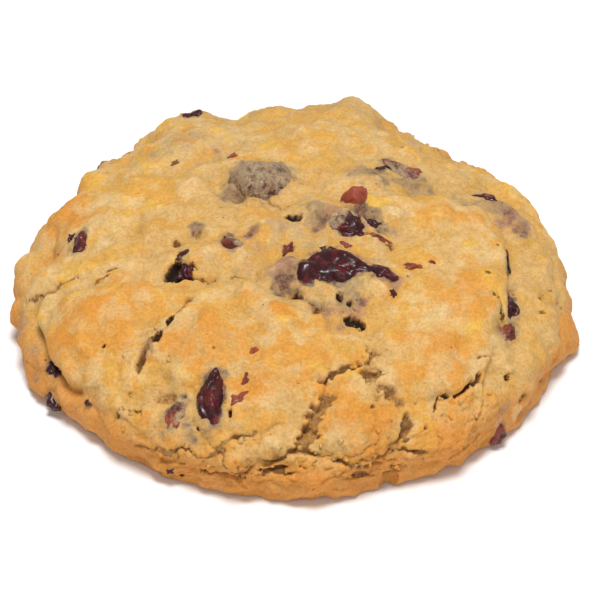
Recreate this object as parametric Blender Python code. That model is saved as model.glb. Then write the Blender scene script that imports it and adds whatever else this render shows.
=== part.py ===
"""A thick oatmeal cookie with dried cranberries, standing flat on its baked underside.

Metres, +Z up. The origin is the centre of the underside, and the front of the cookie faces -Y.
Places on the crust are given on a crust map: millimetres walked over the crust from the crown,
across to the right and back away from the front, so that the map wraps down to the foot.
"""

import math

import bmesh
import bpy
import numpy as np
from mathutils import Vector, noise

MM = 0.001

# The baked mound, in metres
RIM_RADIUS = 0.042
CROWN_HEIGHT = 0.019
BELLY_HEIGHT = 0.004
FOOT_TUCK = 0.002
DOME_POWER = 2.2

# The rim isn't round: its radius every 15 degrees, from the right-hand side round by the back
RIM_RADII_MM = (
    40.9, 39.9, 39.0, 38.0, 38.6, 40.8, 40.4, 40.2, 41.0, 39.9, 39.1, 40.3,
    40.9, 41.4, 41.3, 40.7, 41.4, 41.8, 42.0, 41.7, 41.3, 41.7, 41.7, 41.5,
)

# Mounds of dough over oats and fruit: across, back, length, width, turn in degrees, height
LUMPS_MM = (
    # Browned mounds of the front and the two sides
    (-31.0, -19.0, 24, 20, 0, 1.5), (-14.0, -25.0, 20, 16, 0, 1.6), (-2.5, -21.5, 12, 9, 20, 1.6),
    (10.5, -38.0, 15, 13, 0, 1.3), (-3.0, -29.0, 20, 14, 0, 0.6), (23.0, -16.0, 20, 18, 0, 1.2),
    (25.0, -1.0, 22, 20, 0, 1.5), (19.0, -28.0, 20, 15, 0, 1.2), (27.0, -37.0, 18, 14, 40, 0.8),
    (-36.0, 9.5, 18, 12, 60, 1.0), (-22.0, -36.0, 14, 10, 0, 0.6), (4.0, -46.5, 24, 8, 0, 0.5),
    # Golden bumps round the crown
    (-7.3, -17.3, 10, 8, 0, 1.1), (-13.2, -8.3, 9, 8, 0, 1.4), (-20.5, -1.5, 10, 9, 0, 0.9),
    (-16.8, 2.2, 8, 7, 0, 1.0), (-15.5, 9.0, 10, 8, 60, 0.9), (11.8, -16.6, 10, 8, 0, 1.4),
    (14.6, -0.9, 7, 6, 0, 1.1), (-25.0, 10.0, 12, 9, 10, 0.7), (-5.0, -41.5, 9, 5, 10, 0.7),
    (-28.5, 3.0, 9, 8, 0, 0.6), (-9.6, 1.0, 8, 5, -10, 0.7), (5.2, -26.4, 8, 6, 0, 0.7),
    # Fruit that the dough still covers
    (-5.4, 8.2, 12.0, 10.5, 0, 0.7), (-17.0, 21.0, 16, 13, 0, 1.1), (3.6, 1.0, 9, 7, 0, 1.0),
    (12.6, 11.0, 11, 8, -10, 1.2), (32.5, 7.8, 13, 9, -25, 1.4), (-4.6, -4.0, 10, 6, 10, 1.0),
    (-1.2, -12.5, 9, 8, 0, 0.9), (13.5, -14.0, 9, 5, -30, 0.8),
    # Crags and dips of the skyline at the back
    (8.8, 35.4, 12, 13, 0, 1.7), (-5.0, 34.0, 12, 10, 0, 0.7), (-22.5, 32.0, 14, 12, 0, 0.3),
    (2.0, 22.0, 14, 10, 0, 0.6), (-10.2, 37.0, 9, 24, 0, -2.6), (-27.0, 28.5, 16, 15, 45, -2.0),
    (-32.0, 21.5, 18, 14, 50, -2.0), (16.2, 35.5, 8, 14, 0, -1.3), (22.6, 30.0, 15, 16, -35, -1.8),
    (29.0, 24.0, 18, 14, -45, -1.6), (33.5, 15.0, 14, 10, 0, -1.2),
    (-36.0, 14.5, 12, 10, 60, -1.8),
    # Bulges of the flanks and the foot
    (48.7, -11.2, 12, 12, 0, 1.2), (-43.4, -0.5, 12, 7, 85, 1.6), (-44.6, -15.2, 16, 8, 80, 1.5),
    (-38.2, -7.2, 10, 6, 15, 1.0), (39.0, -14.0, 10, 8, 0, 0.6), (37.0, -21.0, 10, 8, 0, 0.6),
    (-48.0, -8.0, 10, 8, 0, 0.8), (39.0, -2.0, 12, 7, 80, 0.8),
    (36.0, -8.6, 6, 5, 0, 0.6), (38.8, -12.6, 6, 5, 30, 0.6), (36.2, -17.6, 6, 5, 0, 0.7),
    (35.2, -24.0, 7, 5, 40, 0.8), (40.5, -7.0, 5, 6, 0, 0.5),
    # Flakes of crust over the front lip
    (-9.4, -43.6, 7, 4.5, -5, 0.7), (6.0, -41.5, 9, 4, -5, 0.5),
)

# The far side has the same kind of lumps, drawn at random between these limits
FAR_LUMPS = 16
FAR_LUMP_SEED = 7
FAR_LUMP_DEGREES = (12.0, 168.0)
FAR_LUMP_WALKED_MM = (42.0, 48.0)
FAR_LUMP_SIZE_MM = (8.0, 13.0)
FAR_LUMP_HEIGHT_MM = (0.4, 1.0)
FAR_LUMP_WIDTH_SHARE = (0.7, 1.0)

# Soft folds: width, depth and step in millimetres, then the path as (across, back). The step
# lifts the crust on the left of the path, walking along it.
FOLDS_MM = (
    # Edge of the dome over the right flank
    (1.6, 0.9, 2.7, ((29.6, -22.5), (31.0, -16.0), (32.2, -9.0), (32.4, -3.4),
                     (31.2, 2.0), (28.6, 5.8), (24.0, 6.6), (20.0, 5.6))),
    # Edge of the dome over the bulges of the left flank
    (1.7, 2.0, 0.6, ((-36.8, 7.5), (-38.4, 3.0), (-38.8, -1.5), (-40.4, -5.4))),
    (1.6, 2.0, 0.6, ((-41.4, -9.6), (-41.2, -14.0), (-40.2, -18.5),
                     (-38.4, -22.6), (-36.0, -27.0), (-33.0, -31.0))),
    # Outer skirt on the right
    (1.2, 0.6, 0.6, ((40.3, -26.5), (42.8, -20.0), (43.3, -13.0), (42.0, -6.0), (40.5, 1.0))),
    # Under the front-left mound, under the crown and round the covered fruit
    (1.4, 0.8, 0.5, ((-27.5, -30.6), (-21.5, -32.8), (-17.0, -33.8))),
    (1.2, 0.8, -0.5, ((1.2, -22.8), (3.4, -24.6), (5.2, -24.4), (6.6, -23.8), (8.8, -24.4), (10.4, -26.2))),
    (1.3, 0.8, 0.0, ((-12.5, 10.5), (-11.4, 5.4), (-7.0, 3.0), (-2.0, 2.6), (2.0, 4.4))),
    (1.2, 0.6, 0.0, ((-23.6, 14.5), (-17.5, 13.4), (-10.5, 15.5), (-9.0, 21.0))),
    (1.3, 0.9, 0.0, ((-6.5, -10.0), (-4.4, -14.8), (0.2, -16.6), (6.0, -18.6))),
    (1.2, 0.7, 0.0, ((-10.6, -11.6), (-16.0, -14.6), (-22.5, -12.8), (-30.0, -12.0), (-37.5, -10.8))),
    (1.2, 0.8, 0.0, ((17.0, 6.8), (20.0, 10.0), (26.5, 11.0), (29.0, 14.5))),
    (1.1, 0.6, 0.0, ((-13.0, -2.6), (-18.6, -5.6), (-24.5, -6.6))),
)

# Cracks: width, depth, step and path in the same way
CRACKS_MM = (
    # Long diagonal tear on the left
    (0.8, 1.2, 0.2, ((-14.6, -17.8), (-16.0, -19.2), (-17.8, -20.8))),
    (1.0, 1.0, 0.3, ((-17.2, -20.4), (-18.6, -22.0), (-20.0, -24.4), (-22.0, -26.8), (-23.2, -29.6))),
    # Tear down the middle of the front, narrow at the top and wide below
    (0.7, 1.7, 0.2, ((8.6, -30.0), (7.0, -31.0), (5.8, -31.8), (4.8, -33.2))),
    (2.0, 2.1, 0.3, ((5.0, -33.2), (4.4, -35.2), (3.0, -37.6), (1.6, -40.4), (1.0, -43.0))),
    # Three-cornered tear beside it, whose arm runs on round the browned mound
    (1.6, 1.5, 0.0, ((11.4, -25.8), (11.2, -28.0), (10.8, -30.4))),
    (2.4, 1.7, 0.0, ((10.5, -28.8), (10.8, -31.0), (11.4, -33.6))),
    (1.5, 1.4, 0.2, ((11.0, -32.8), (13.2, -33.4), (14.8, -34.6), (16.0, -36.0))),
    (1.3, 1.7, 0.0, ((15.8, -36.0), (16.8, -37.6), (16.4, -39.6), (15.2, -41.0))),
    # Edge of the upper crust over the front lip, and the flake that hangs from it
    (0.45, 0.6, 0.55, ((-26.4, -38.6), (-22.4, -40.2), (-16.8, -41.4), (-14.2, -42.2), (-12.0, -42.3),
                     (-11.0, -41.2), (-9.0, -41.0), (-7.0, -40.2), (-5.2, -39.4))),
    (0.4, 0.45, 0.3, ((-11.4, -42.2), (-10.4, -43.8), (-9.2, -45.2), (-7.4, -45.1), (-6.0, -44.2))),
    (0.9, 0.95, 0.6, ((-5.4, -44.0), (-3.4, -43.8), (-1.2, -43.4), (0.8, -42.4), (2.6, -42.8), (6.0, -43.2),
                     (8.4, -43.6), (10.6, -44.6), (12.2, -44.6), (12.8, -42.6), (14.2, -41.2))),
    # Slit on the right of the front
    (0.4, 0.9, 0.2, ((19.4, -37.4), (20.8, -35.2), (22.0, -33.4), (23.0, -32.4))),
    (0.5, 1.6, 0.3, ((22.8, -32.4), (24.2, -31.6), (25.6, -30.6), (27.4, -28.8))),
    (0.5, 1.0, 0.4, ((15.4, -41.6), (17.6, -41.2), (20.2, -40.6))),
    # Cracks of the right flank
    (0.4, 0.7, 0.1, ((28.0, -14.6), (29.4, -15.2), (29.9, -16.4), (29.6, -17.4), (30.2, -18.8))),
    # Cracks of the left flank
    (0.4, 0.6, 0.35, ((-42.0, -9.2), (-39.4, -9.8), (-37.0, -10.2), (-35.0, -9.4), (-32.6, -9.0))),
    # Notch in the foot
    (1.2, 1.6, 0.0, ((16.6, -44.6), (15.8, -46.4), (15.4, -48.0))),
    # Cracks of the far side
    (0.9, 0.8, 0.7, ((38.0, 22.0), (31.0, 30.5), (22.0, 37.5), (12.5, 41.0))),
    (0.8, 0.8, 0.6, ((-10.0, 42.0), (-19.0, 39.5), (-28.0, 34.0), (-35.0, 26.5))),
)

# Of cracks thinner than this only the step is modelled
THINNEST_CRACK_MM = 0.8

# Open pores and pits: across, back, length, width, turn in degrees, depth
PITS_MM = (
    (-16.9, -11.7, 4.4, 4.0, 20, 2.5), (-0.1, -1.2, 2.8, 1.6, 8, 1.4), (0.2, -17.0, 2.0, 1.8, -20, 1.7),
    (3.2, -20.2, 1.5, 2.4, -15, 1.7), (8.6, -22.0, 3.2, 1.5, -25, 1.7), (-19.0, -33.6, 3.4, 1.9, -10, 0.6),
    (10.4, -46.0, 3.4, 1.4, -10, 0.8), (36.4, -28.6, 1.4, 2.2, -20, 0.8), (-22.7, -27.6, 1.5, 3.0, -20, 1.6),
    (-20.2, -24.6, 1.6, 2.6, -35, 1.5), (-27.0, -9.4, 2.8, 1.4, 0, 1.2), (-11.2, 2.6, 1.4, 2.2, 10, 1.4),
)
PIT_RIM = 0.55
PIT_EDGE = 1.15

# Dried cranberries: across, back, length, width, thickness, turn in degrees, and how far the
# middle of the berry lies under the crust
BERRIES_MM = {
    "cranberry_crown": (6.0, -12.4, 12.8, 8.2, 6.2, -8, 1.4),
    "cranberry_behind_crown": (7.8, -2.8, 7.6, 5.8, 5.2, -52, 1.3),
    "cranberry_red": (9.0, 2.2, 4.2, 3.8, 4.8, -65, 0.2),
    "cranberry_left_of_crown": (-9.4, -6.9, 5.4, 3.4, 4.0, -62, 0.9),
    "cranberry_half_covered": (-5.2, 8.2, 10.0, 8.6, 8.0, -10, 1.1),
    "cranberry_back_right": (17.4, 14.4, 9.0, 4.8, 4.6, -38, 1.1),
    "cranberry_skyline": (-16.6, 34.2, 4.6, 4.0, 4.2, 5, 1.2),
    "cranberry_left_shoulder": (-32.7, -1.4, 4.8, 3.2, 3.2, 82, 0.7),
    "cranberry_in_pit": (-16.0, -11.0, 4.0, 2.8, 2.8, 70, 1.9),
    "cranberry_front_left": (-11.6, -34.4, 10.2, 4.6, 5.0, 84, 0.9),
    "cranberry_front_low": (-17.4, -36.0, 6.2, 2.8, 3.2, 58, 0.7),
    "cranberry_right_fold": (32.2, -14.0, 6.4, 3.2, 3.8, 98, 0.9),
    "cranberry_right_low": (31.8, -19.4, 4.8, 3.0, 3.4, 60, 0.6),
    "cranberry_foot_right": (34.3, -35.5, 5.4, 2.8, 3.4, -58, 0.6),
    "cranberry_foot_left": (-41.6, -27.0, 4.6, 2.8, 3.8, 123, 0.6),
    "cranberry_left_fold": (-39.2, -22.4, 4.2, 2.2, 2.6, 110, 0.6),
    "cranberry_back": (4.0, 46.5, 7.0, 4.6, 4.6, 10, 1.0),
    "cranberry_back_left": (-34.0, 33.0, 6.0, 4.2, 4.2, -40, 1.0),
    "cranberry_back_right_flank": (33.0, 33.0, 7.0, 4.6, 4.4, 35, 1.0),
}
LARGE_BERRY_MM = 7.0
POCKET_GAP = 0.0004
WELL_DEPTH = 0.0012

# A berry's skin: grain of its folds and of its swelling as shares of its half size, its least
# size, and the height of both
FOLD_GRAIN = 1.6
SWELL_GRAIN = 0.9
BERRY_FULLNESS = 0.94
FOLD_HEIGHT = 0.22
SWELL_HEIGHT = 0.12

# Undulation of the crust: grain size and height, in metres
SWELLS = ((0.0110, 0.0008), (0.0048, 0.00055))
COBBLE_SIZE = 0.0055
COBBLE_HEIGHT = 0.0009

# How far a fold or a crack bends about, and how its step rises and dies away, in metres
FOLD_GRAIN_SIZE = 0.005
FOLD_WANDER = 0.0016
FOLD_STEP_RISE = 0.0009
FOLD_STEP_REACH = 0.007
CRACK_GRAIN_SIZE = 0.0017
CRACK_WANDER = 0.00055
CRACK_STEP_RISE = 0.00045
CRACK_STEP_REACH = 0.006
PIT_GRAIN_SIZE = 0.0013
PIT_WANDER = 0.25

# The crust is smooth over its last stretch down to the table
SMOOTH_FOOT = 0.0022

# How finely the mound is meshed before it is thinned out
GRID_STEPS = 190
KEPT_SHARE = 0.095
FLAT_WITHIN = 0.0002
NORMAL_REACH = 0.0004

DOUGH_COLOUR = (0.78, 0.43, 0.12, 1.0)
BERRY_COLOUR = (0.10, 0.018, 0.02, 1.0)
DOUGH_ROUGHNESS = 0.75
BERRY_ROUGHNESS = 0.3


def clear_scene():
    for obj in list(bpy.data.objects):
        bpy.data.objects.remove(obj)


def smooth_step(low, high, value):
    share = np.clip((value - low) / (high - low), 0.0, 1.0)
    return share * share * (3.0 - 2.0 * share)


def crust_profile():
    """Distance walked, radius and height along the crust, from the crown to the foot."""
    dome_turn = np.linspace(0.0, math.pi / 2, 400)
    foot_turn = np.linspace(0.0, math.pi / 2, 60)[1:]
    dome_radius = RIM_RADIUS * np.sin(dome_turn) ** (2 / DOME_POWER)
    dome_height = BELLY_HEIGHT + (CROWN_HEIGHT - BELLY_HEIGHT) * np.cos(dome_turn) ** (2 / DOME_POWER)
    dome_height[-1] = BELLY_HEIGHT
    radius = np.concatenate([dome_radius, RIM_RADIUS - FOOT_TUCK * (1 - np.cos(foot_turn))])
    height = np.concatenate([dome_height, BELLY_HEIGHT * (1 - np.sin(foot_turn))])
    steps = np.hypot(np.diff(radius), np.diff(height))
    return np.concatenate([[0.0], np.cumsum(steps)]), radius, height


WALKED, PROFILE_RADIUS, PROFILE_HEIGHT = crust_profile()
CRUST_LENGTH = WALKED[-1]


def rim_share(angle):
    """The rim's radius in a direction, as a share of RIM_RADIUS, on a curve through RIM_RADII_MM."""
    radii = np.array(RIM_RADII_MM) * MM / RIM_RADIUS
    place = np.mod(np.degrees(angle), 360.0) * len(radii) / 360.0
    first = np.floor(place).astype(int)
    t = place - first
    a, b, c, d = (radii[(first + k) % len(radii)] for k in (-1, 0, 1, 2))
    return 0.5 * (2 * b + (c - a) * t + (2 * a - 5 * b + 4 * c - d) * t**2 + (3 * b - a - 3 * c + d) * t**3)


def mound_points(across, back):
    """Where places on the crust map lie on the smooth mound, as an array of (x, y, z)."""
    walked = np.hypot(across, back)
    angle = np.arctan2(back, across)
    radius = np.interp(walked, WALKED, PROFILE_RADIUS) * rim_share(angle)
    height = np.interp(walked, WALKED, PROFILE_HEIGHT)
    return np.stack([radius * np.cos(angle), radius * np.sin(angle), height], axis=-1)


def mound_normals(across, back):
    along_across = mound_points(across + NORMAL_REACH, back) - mound_points(across - NORMAL_REACH, back)
    along_back = mound_points(across, back + NORMAL_REACH) - mound_points(across, back - NORMAL_REACH)
    normal = np.cross(along_across, along_back)
    return normal / np.linalg.norm(normal, axis=-1, keepdims=True)


def oval_distance(across, back, middle, size, turn):
    """Distance from an oval's middle as a share of its half sizes: 1 on its edge."""
    x = across - middle[0] * MM
    y = back - middle[1] * MM
    c, s = math.cos(math.radians(turn)), math.sin(math.radians(turn))
    return np.hypot((x * c + y * s) / (size[0] * MM / 2), (y * c - x * s) / (size[1] * MM / 2))


def grain(points, size, shift=0.0):
    """Smooth random values between -1 and 1, whose grains are size metres across."""
    return np.array([noise.noise(place) for place in (points / size + (shift, 0.0, 0.0)).tolist()])


def cobbles(points, size, shift):
    """Height of irregular bumps size metres across, from 0 to 1."""
    bend = np.stack([grain(points, 0.8 * size, shift + axis) for axis in (3.0, 5.0, 7.0)], axis=-1)
    places = (points / size + 0.5 * bend + (shift, 0.0, 0.0)).tolist()
    return 1.0 - smooth_step(0.0, 0.85, np.array([noise.voronoi(place)[0][0] for place in places]))


def all_lumps():
    """The lumps of LUMPS_MM, and seeded ones for the far side."""
    draw = np.random.default_rng(FAR_LUMP_SEED)
    first, last = FAR_LUMP_DEGREES
    far_lumps = []
    for index in range(FAR_LUMPS):
        angle = math.radians(first + (last - first) * (index + draw.uniform(0.2, 0.8)) / FAR_LUMPS)
        walked = draw.uniform(*FAR_LUMP_WALKED_MM)
        size = draw.uniform(*FAR_LUMP_SIZE_MM)
        height = draw.uniform(*FAR_LUMP_HEIGHT_MM)
        width = size * draw.uniform(*FAR_LUMP_WIDTH_SHARE)
        place = (walked * math.cos(angle), walked * math.sin(angle))
        far_lumps.append((*place, size, width, draw.uniform(0, 180), height))
    return LUMPS_MM + tuple(far_lumps)


def lump_height(across, back):
    total = np.zeros_like(across)
    for x, y, length, width, turn, height in all_lumps():
        near = np.clip(1.0 - oval_distance(across, back, (x, y), (length, width), turn) ** 2, 0.0, 1.0)
        total += height * MM * near**2
    return total


def path_distance(across, back, path):
    """Distance to a path on the crust map, and that distance signed: above zero on its left."""
    nearest = np.full(across.shape, np.inf)
    signed = np.zeros_like(across)
    for start, end in zip(path, path[1:]):
        ax, ay = start[0] * MM, start[1] * MM
        dx, dy = end[0] * MM - ax, end[1] * MM - ay
        share = np.clip(((across - ax) * dx + (back - ay) * dy) / (dx * dx + dy * dy), 0.0, 1.0)
        distance = np.hypot(across - ax - share * dx, back - ay - share * dy)
        side = np.sign(dx * (back - ay) - dy * (across - ax))
        closer = distance < nearest
        nearest = np.where(closer, distance, nearest)
        signed = np.where(closer, distance * side, signed)
    return nearest, signed


def end_fade(across, back, path, width):
    """1 along a crack and 0 beyond its ends, so that it tapers out."""
    fade = np.ones_like(across)
    for x, y in (path[0], path[-1]):
        fade *= smooth_step(0.0, width, np.hypot(across - x * MM, back - y * MM))
    return fade


def fold_relief(across, back, points):
    """Soft valleys, and the steps of the crust beside them."""
    bent_across = across + FOLD_WANDER * grain(points, FOLD_GRAIN_SIZE, 13.0)
    bent_back = back + FOLD_WANDER * grain(points, FOLD_GRAIN_SIZE, 19.0)
    total = np.zeros_like(across)
    for width, depth, step, path in FOLDS_MM:
        distance, signed = path_distance(bent_across, bent_back, path)
        fade = end_fade(across, back, path, 2.5 * width * MM)
        total -= depth * MM * fade * np.exp(-((distance / (width * MM)) ** 2))
        raised = np.tanh(signed / FOLD_STEP_RISE) * np.exp(-distance / FOLD_STEP_REACH)
        total += step * MM / 2 * raised * fade
    return total


def crack_relief(across, back, points):
    """Depth of the cracks, less the steps in the crust beside them. Their edges are crumbly."""
    torn_across = across + CRACK_WANDER * grain(points, CRACK_GRAIN_SIZE, 3.0)
    torn_back = back + CRACK_WANDER * grain(points, CRACK_GRAIN_SIZE, 9.0)
    total = np.zeros_like(across)
    for width, depth, step, path in CRACKS_MM:
        distance, signed = path_distance(torn_across, torn_back, path)
        fade = end_fade(torn_across, torn_back, path, 1.5 * width * MM)
        if width >= THINNEST_CRACK_MM:
            half = width * MM / 2
            total -= depth * MM * fade * (1.0 - smooth_step(0.35 * half, 1.3 * half, distance))
        raised = np.tanh(signed / CRACK_STEP_RISE) * np.exp(-distance / CRACK_STEP_REACH)
        total += step * MM / 2 * raised * fade
    return total


def pit_relief(across, back, points):
    wander = PIT_WANDER * grain(points, PIT_GRAIN_SIZE, 5.0)
    total = np.zeros_like(across)
    for x, y, length, width, turn, depth in PITS_MM:
        distance = oval_distance(across, back, (x, y), (length, width), turn) + wander
        total -= depth * MM * (1.0 - smooth_step(PIT_RIM, PIT_EDGE, distance))
    return total


def well_relief(across, back):
    """The dough is open over each berry, down to just under the berry's widest part."""
    total = np.zeros_like(across)
    for x, y, length, width, thickness, turn, sink in BERRIES_MM.values():
        open_share = math.sqrt(max(0.2, 1.0 - (2 * sink / thickness) ** 2))
        distance = oval_distance(across, back, (x, y), (length * open_share, width * open_share), turn)
        total -= WELL_DEPTH * (1.0 - smooth_step(0.7, 1.05, distance))
    return total


def soft_relief(across, back, points):
    """Height of the crust's folds, swells, bumps and mounds over the smooth mound."""
    relief = COBBLE_HEIGHT * (cobbles(points, COBBLE_SIZE, 50.0) - 0.4)
    relief += fold_relief(across, back, points) + lump_height(across, back)
    for size, height in SWELLS:
        relief += height * grain(points, size)
    return relief


def crust_relief(across, back):
    """How far the crust stands out from the smooth mound."""
    points = mound_points(across, back)
    relief = soft_relief(across, back, points) + crack_relief(across, back, points)
    relief += pit_relief(across, back, points) + well_relief(across, back)
    return relief * (1.0 - smooth_step(CRUST_LENGTH - SMOOTH_FOOT, CRUST_LENGTH, np.hypot(across, back)))


def disc_from_square(x, y):
    """An even spread of a square grid over a disc, both of half size 1."""
    wide = abs(x) >= abs(y)
    radius = x if wide else y
    if radius == 0.0:
        return 0.0, 0.0
    turn = math.pi / 4 * (y / x) if wide else math.pi / 2 - math.pi / 4 * (x / y)
    return radius * math.cos(turn), radius * math.sin(turn)


def mound_mesh():
    """The crust over the mound as a fine grid, closed by a flat underside."""
    bm = bmesh.new()
    bmesh.ops.create_grid(bm, x_segments=GRID_STEPS, y_segments=GRID_STEPS, size=1.0)
    places = np.array([disc_from_square(v.co.x, v.co.y) for v in bm.verts]) * CRUST_LENGTH
    across, back = places[:, 0], places[:, 1]
    crust = mound_points(across, back) + mound_normals(across, back) * crust_relief(across, back)[:, None]
    crust[:, 2] = np.maximum(crust[:, 2], 0.0)
    for vert, point in zip(bm.verts, crust):
        vert.co = point
    rim = [edge for edge in bm.edges if edge.is_boundary]
    for vert in {v for edge in rim for v in edge.verts}:
        vert.co.z = 0.0
    bmesh.ops.holes_fill(bm, edges=rim)
    bmesh.ops.triangulate(bm, faces=bm.faces)
    bmesh.ops.recalc_face_normals(bm, faces=bm.faces)
    mesh = bpy.data.meshes.new("dough")
    bm.to_mesh(mesh)
    bm.free()
    return mesh


def thin_out(obj):
    """Keeps triangles where the crust is craggy, drops them where it is plain, and levels the base."""
    decimate = obj.modifiers.new("thin_out", "DECIMATE")
    decimate.ratio = KEPT_SHARE
    bpy.context.view_layer.update()
    graph = bpy.context.evaluated_depsgraph_get()
    mesh = bpy.data.meshes.new_from_object(obj.evaluated_get(graph), depsgraph=graph)
    obj.modifiers.clear()
    obj.data = mesh
    for vert in mesh.vertices:
        if vert.co.z < FLAT_WITHIN:
            vert.co.z = 0.0


def laid_on_crust(berry, shape):
    """Where the points of a berry end up: it lies along the crust, turned on it and partly sunk."""
    x, y, _length, _width, _thickness, turn, sink = berry
    c, s = math.cos(math.radians(turn)), math.sin(math.radians(turn))
    across = x * MM + shape[:, 0] * c - shape[:, 1] * s
    back = y * MM + shape[:, 0] * s + shape[:, 1] * c
    under = mound_points(across, back)
    under += mound_normals(across, back) * soft_relief(across, back, under)[:, None]
    upward = mound_normals(np.array([x * MM]), np.array([y * MM]))[0]
    return under + upward * (shape[:, 2] - sink * MM)[:, None]


def wrinkled_berry_mesh(name, berry, seed, grow):
    """A dried berry in its place: a flattened ball with folds in its skin, grown by a margin."""
    half = Vector(berry[2:5]) * MM / 2
    bm = bmesh.new()
    if berry[2] >= LARGE_BERRY_MM:
        bmesh.ops.create_uvsphere(bm, u_segments=12, v_segments=8, radius=1.0)
    else:
        bmesh.ops.create_icosphere(bm, subdivisions=2, radius=1.0)
    for vert in bm.verts:
        fold = abs(noise.noise(vert.co * FOLD_GRAIN + Vector((seed, 0, 0))))
        swell = noise.noise(vert.co * SWELL_GRAIN + Vector((0, seed, 0)))
        vert.co *= BERRY_FULLNESS - FOLD_HEIGHT * fold + SWELL_HEIGHT * swell
        vert.co = Vector((vert.co.x * half.x, vert.co.y * half.y, vert.co.z * half.z))
    bm.normal_update()
    shape = np.array([vert.co + vert.normal * grow for vert in bm.verts])
    for vert, place in zip(bm.verts, laid_on_crust(berry, shape)):
        vert.co = place
    mesh = bpy.data.meshes.new(name)
    bm.to_mesh(mesh)
    bm.free()
    return mesh


def plain_material(name, colour, roughness):
    material = bpy.data.materials.new(name)
    material.use_nodes = True
    shader = material.node_tree.nodes["Principled BSDF"]
    shader.inputs["Base Color"].default_value = colour
    shader.inputs["Roughness"].default_value = roughness
    shader.inputs["Metallic"].default_value = 0.0
    return material


def add_object(name, mesh, parent, material=None):
    obj = bpy.data.objects.new(name, mesh)
    bpy.context.scene.collection.objects.link(obj)
    obj.parent = parent
    if material:
        mesh.materials.append(material)
        mesh.shade_smooth()
    return obj


def add_berries(cookie, material, pockets):
    """The berries, and for each a slightly larger copy that cuts its pocket in the dough."""
    for seed, (name, berry) in enumerate(BERRIES_MM.items()):
        add_object(name, wrinkled_berry_mesh(name, berry, seed, 0.0), cookie, material)
        pocket = add_object(name + "_pocket", wrinkled_berry_mesh(name, berry, seed, POCKET_GAP), cookie)
        pocket.hide_render = True
        pocket.display_type = "WIRE"
        pockets.objects.link(pocket)
        bpy.context.scene.collection.objects.unlink(pocket)


def main():
    clear_scene()
    cookie = bpy.data.objects.new("cookie", None)
    bpy.context.scene.collection.objects.link(cookie)
    pockets = bpy.data.collections.new("pockets")
    bpy.context.scene.collection.children.link(pockets)
    dough = add_object("dough", mound_mesh(), cookie)
    thin_out(dough)
    dough.data.materials.append(plain_material("baked_dough", DOUGH_COLOUR, DOUGH_ROUGHNESS))
    dough.data.shade_smooth()
    add_berries(cookie, plain_material("dried_cranberry", BERRY_COLOUR, BERRY_ROUGHNESS), pockets)
    cut = dough.modifiers.new("pockets", "BOOLEAN")
    cut.operation = "DIFFERENCE"
    cut.operand_type = "COLLECTION"
    cut.collection = pockets
    cut.solver = "EXACT"


main()
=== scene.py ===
"""The looks of a thick oatmeal cookie with dried cranberries, on a pale table under soft light."""

import math

import bmesh
import bpy
import numpy as np
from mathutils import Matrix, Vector, noise


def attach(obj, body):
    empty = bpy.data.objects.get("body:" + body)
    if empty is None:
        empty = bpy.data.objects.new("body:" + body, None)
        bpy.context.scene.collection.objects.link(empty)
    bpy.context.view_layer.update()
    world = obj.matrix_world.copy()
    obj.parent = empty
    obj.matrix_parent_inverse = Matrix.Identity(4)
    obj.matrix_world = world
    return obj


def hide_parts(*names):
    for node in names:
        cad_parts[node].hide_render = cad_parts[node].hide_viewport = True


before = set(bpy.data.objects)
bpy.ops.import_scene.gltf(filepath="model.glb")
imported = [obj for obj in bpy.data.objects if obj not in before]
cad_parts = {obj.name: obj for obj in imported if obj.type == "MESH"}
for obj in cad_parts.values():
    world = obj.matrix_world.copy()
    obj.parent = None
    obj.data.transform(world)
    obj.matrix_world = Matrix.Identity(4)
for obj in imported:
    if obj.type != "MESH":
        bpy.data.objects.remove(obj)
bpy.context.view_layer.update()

# The viewpoint: a long lens, a little over the cookie and near enough that the back of the
# cookie looks smaller than the front. The aim sits just off the middle of the underside.
MM = 0.001
CAMERA_DISTANCE = 450 * MM
CAMERA_ELEVATION = math.radians(40.0)
LENS_MM = 180.0
SENSOR_MM = 36.0
AIM_RIGHT = 0.75 * MM
AIM_UP = 1.95 * MM
NEAREST_SEEN = 50 * MM
FARTHEST_SEEN = 10000 * MM

toward_camera = Vector((0.0, -math.cos(CAMERA_ELEVATION), math.sin(CAMERA_ELEVATION)))
camera_up = Vector((0.0, math.sin(CAMERA_ELEVATION), math.cos(CAMERA_ELEVATION)))
camera = bpy.data.objects.new("camera", bpy.data.cameras.new("camera"))
bpy.context.scene.collection.objects.link(camera)
camera.data.lens = LENS_MM
camera.data.sensor_width = SENSOR_MM
camera.location = toward_camera * CAMERA_DISTANCE + camera_up * AIM_UP + Vector((AIM_RIGHT, 0.0, 0.0))
camera.rotation_euler = toward_camera.to_track_quat("Z", "Y").to_euler()
camera.data.clip_start = NEAREST_SEEN
camera.data.clip_end = FARTHEST_SEEN
bpy.context.scene.camera = camera

# The baked dough: one scoop of oat dough that spread and domed in the oven, torn open on the
# front and lumpy with oats and fruit. Its flat base stands on the table. Places on it are
# given on a crust map, in millimetres walked over the crust from the crown: right, then back.
RIM_RADIUS = 42 * MM
CROWN_HEIGHT = 19 * MM
BELLY_HEIGHT = 4 * MM
FOOT_TUCK = 2 * MM
DOME_POWER = 2.2
DOME_STEPS = 400
FOOT_STEPS = 60
RIM_RADII_MM = (
    40.9, 39.9, 39.0, 38.0, 38.6, 40.8, 40.4, 40.2, 41.0, 39.9, 39.1, 40.3,
    40.9, 41.4, 41.3, 40.7, 41.4, 41.8, 42.0, 41.7, 41.3, 41.7, 41.7, 41.5,
)


def smooth_step(low, high, value):
    """0 below low and 1 above high, with an even curve between them."""
    share = np.clip((value - low) / (high - low), 0.0, 1.0)
    return share * share * (3.0 - 2.0 * share)


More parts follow.
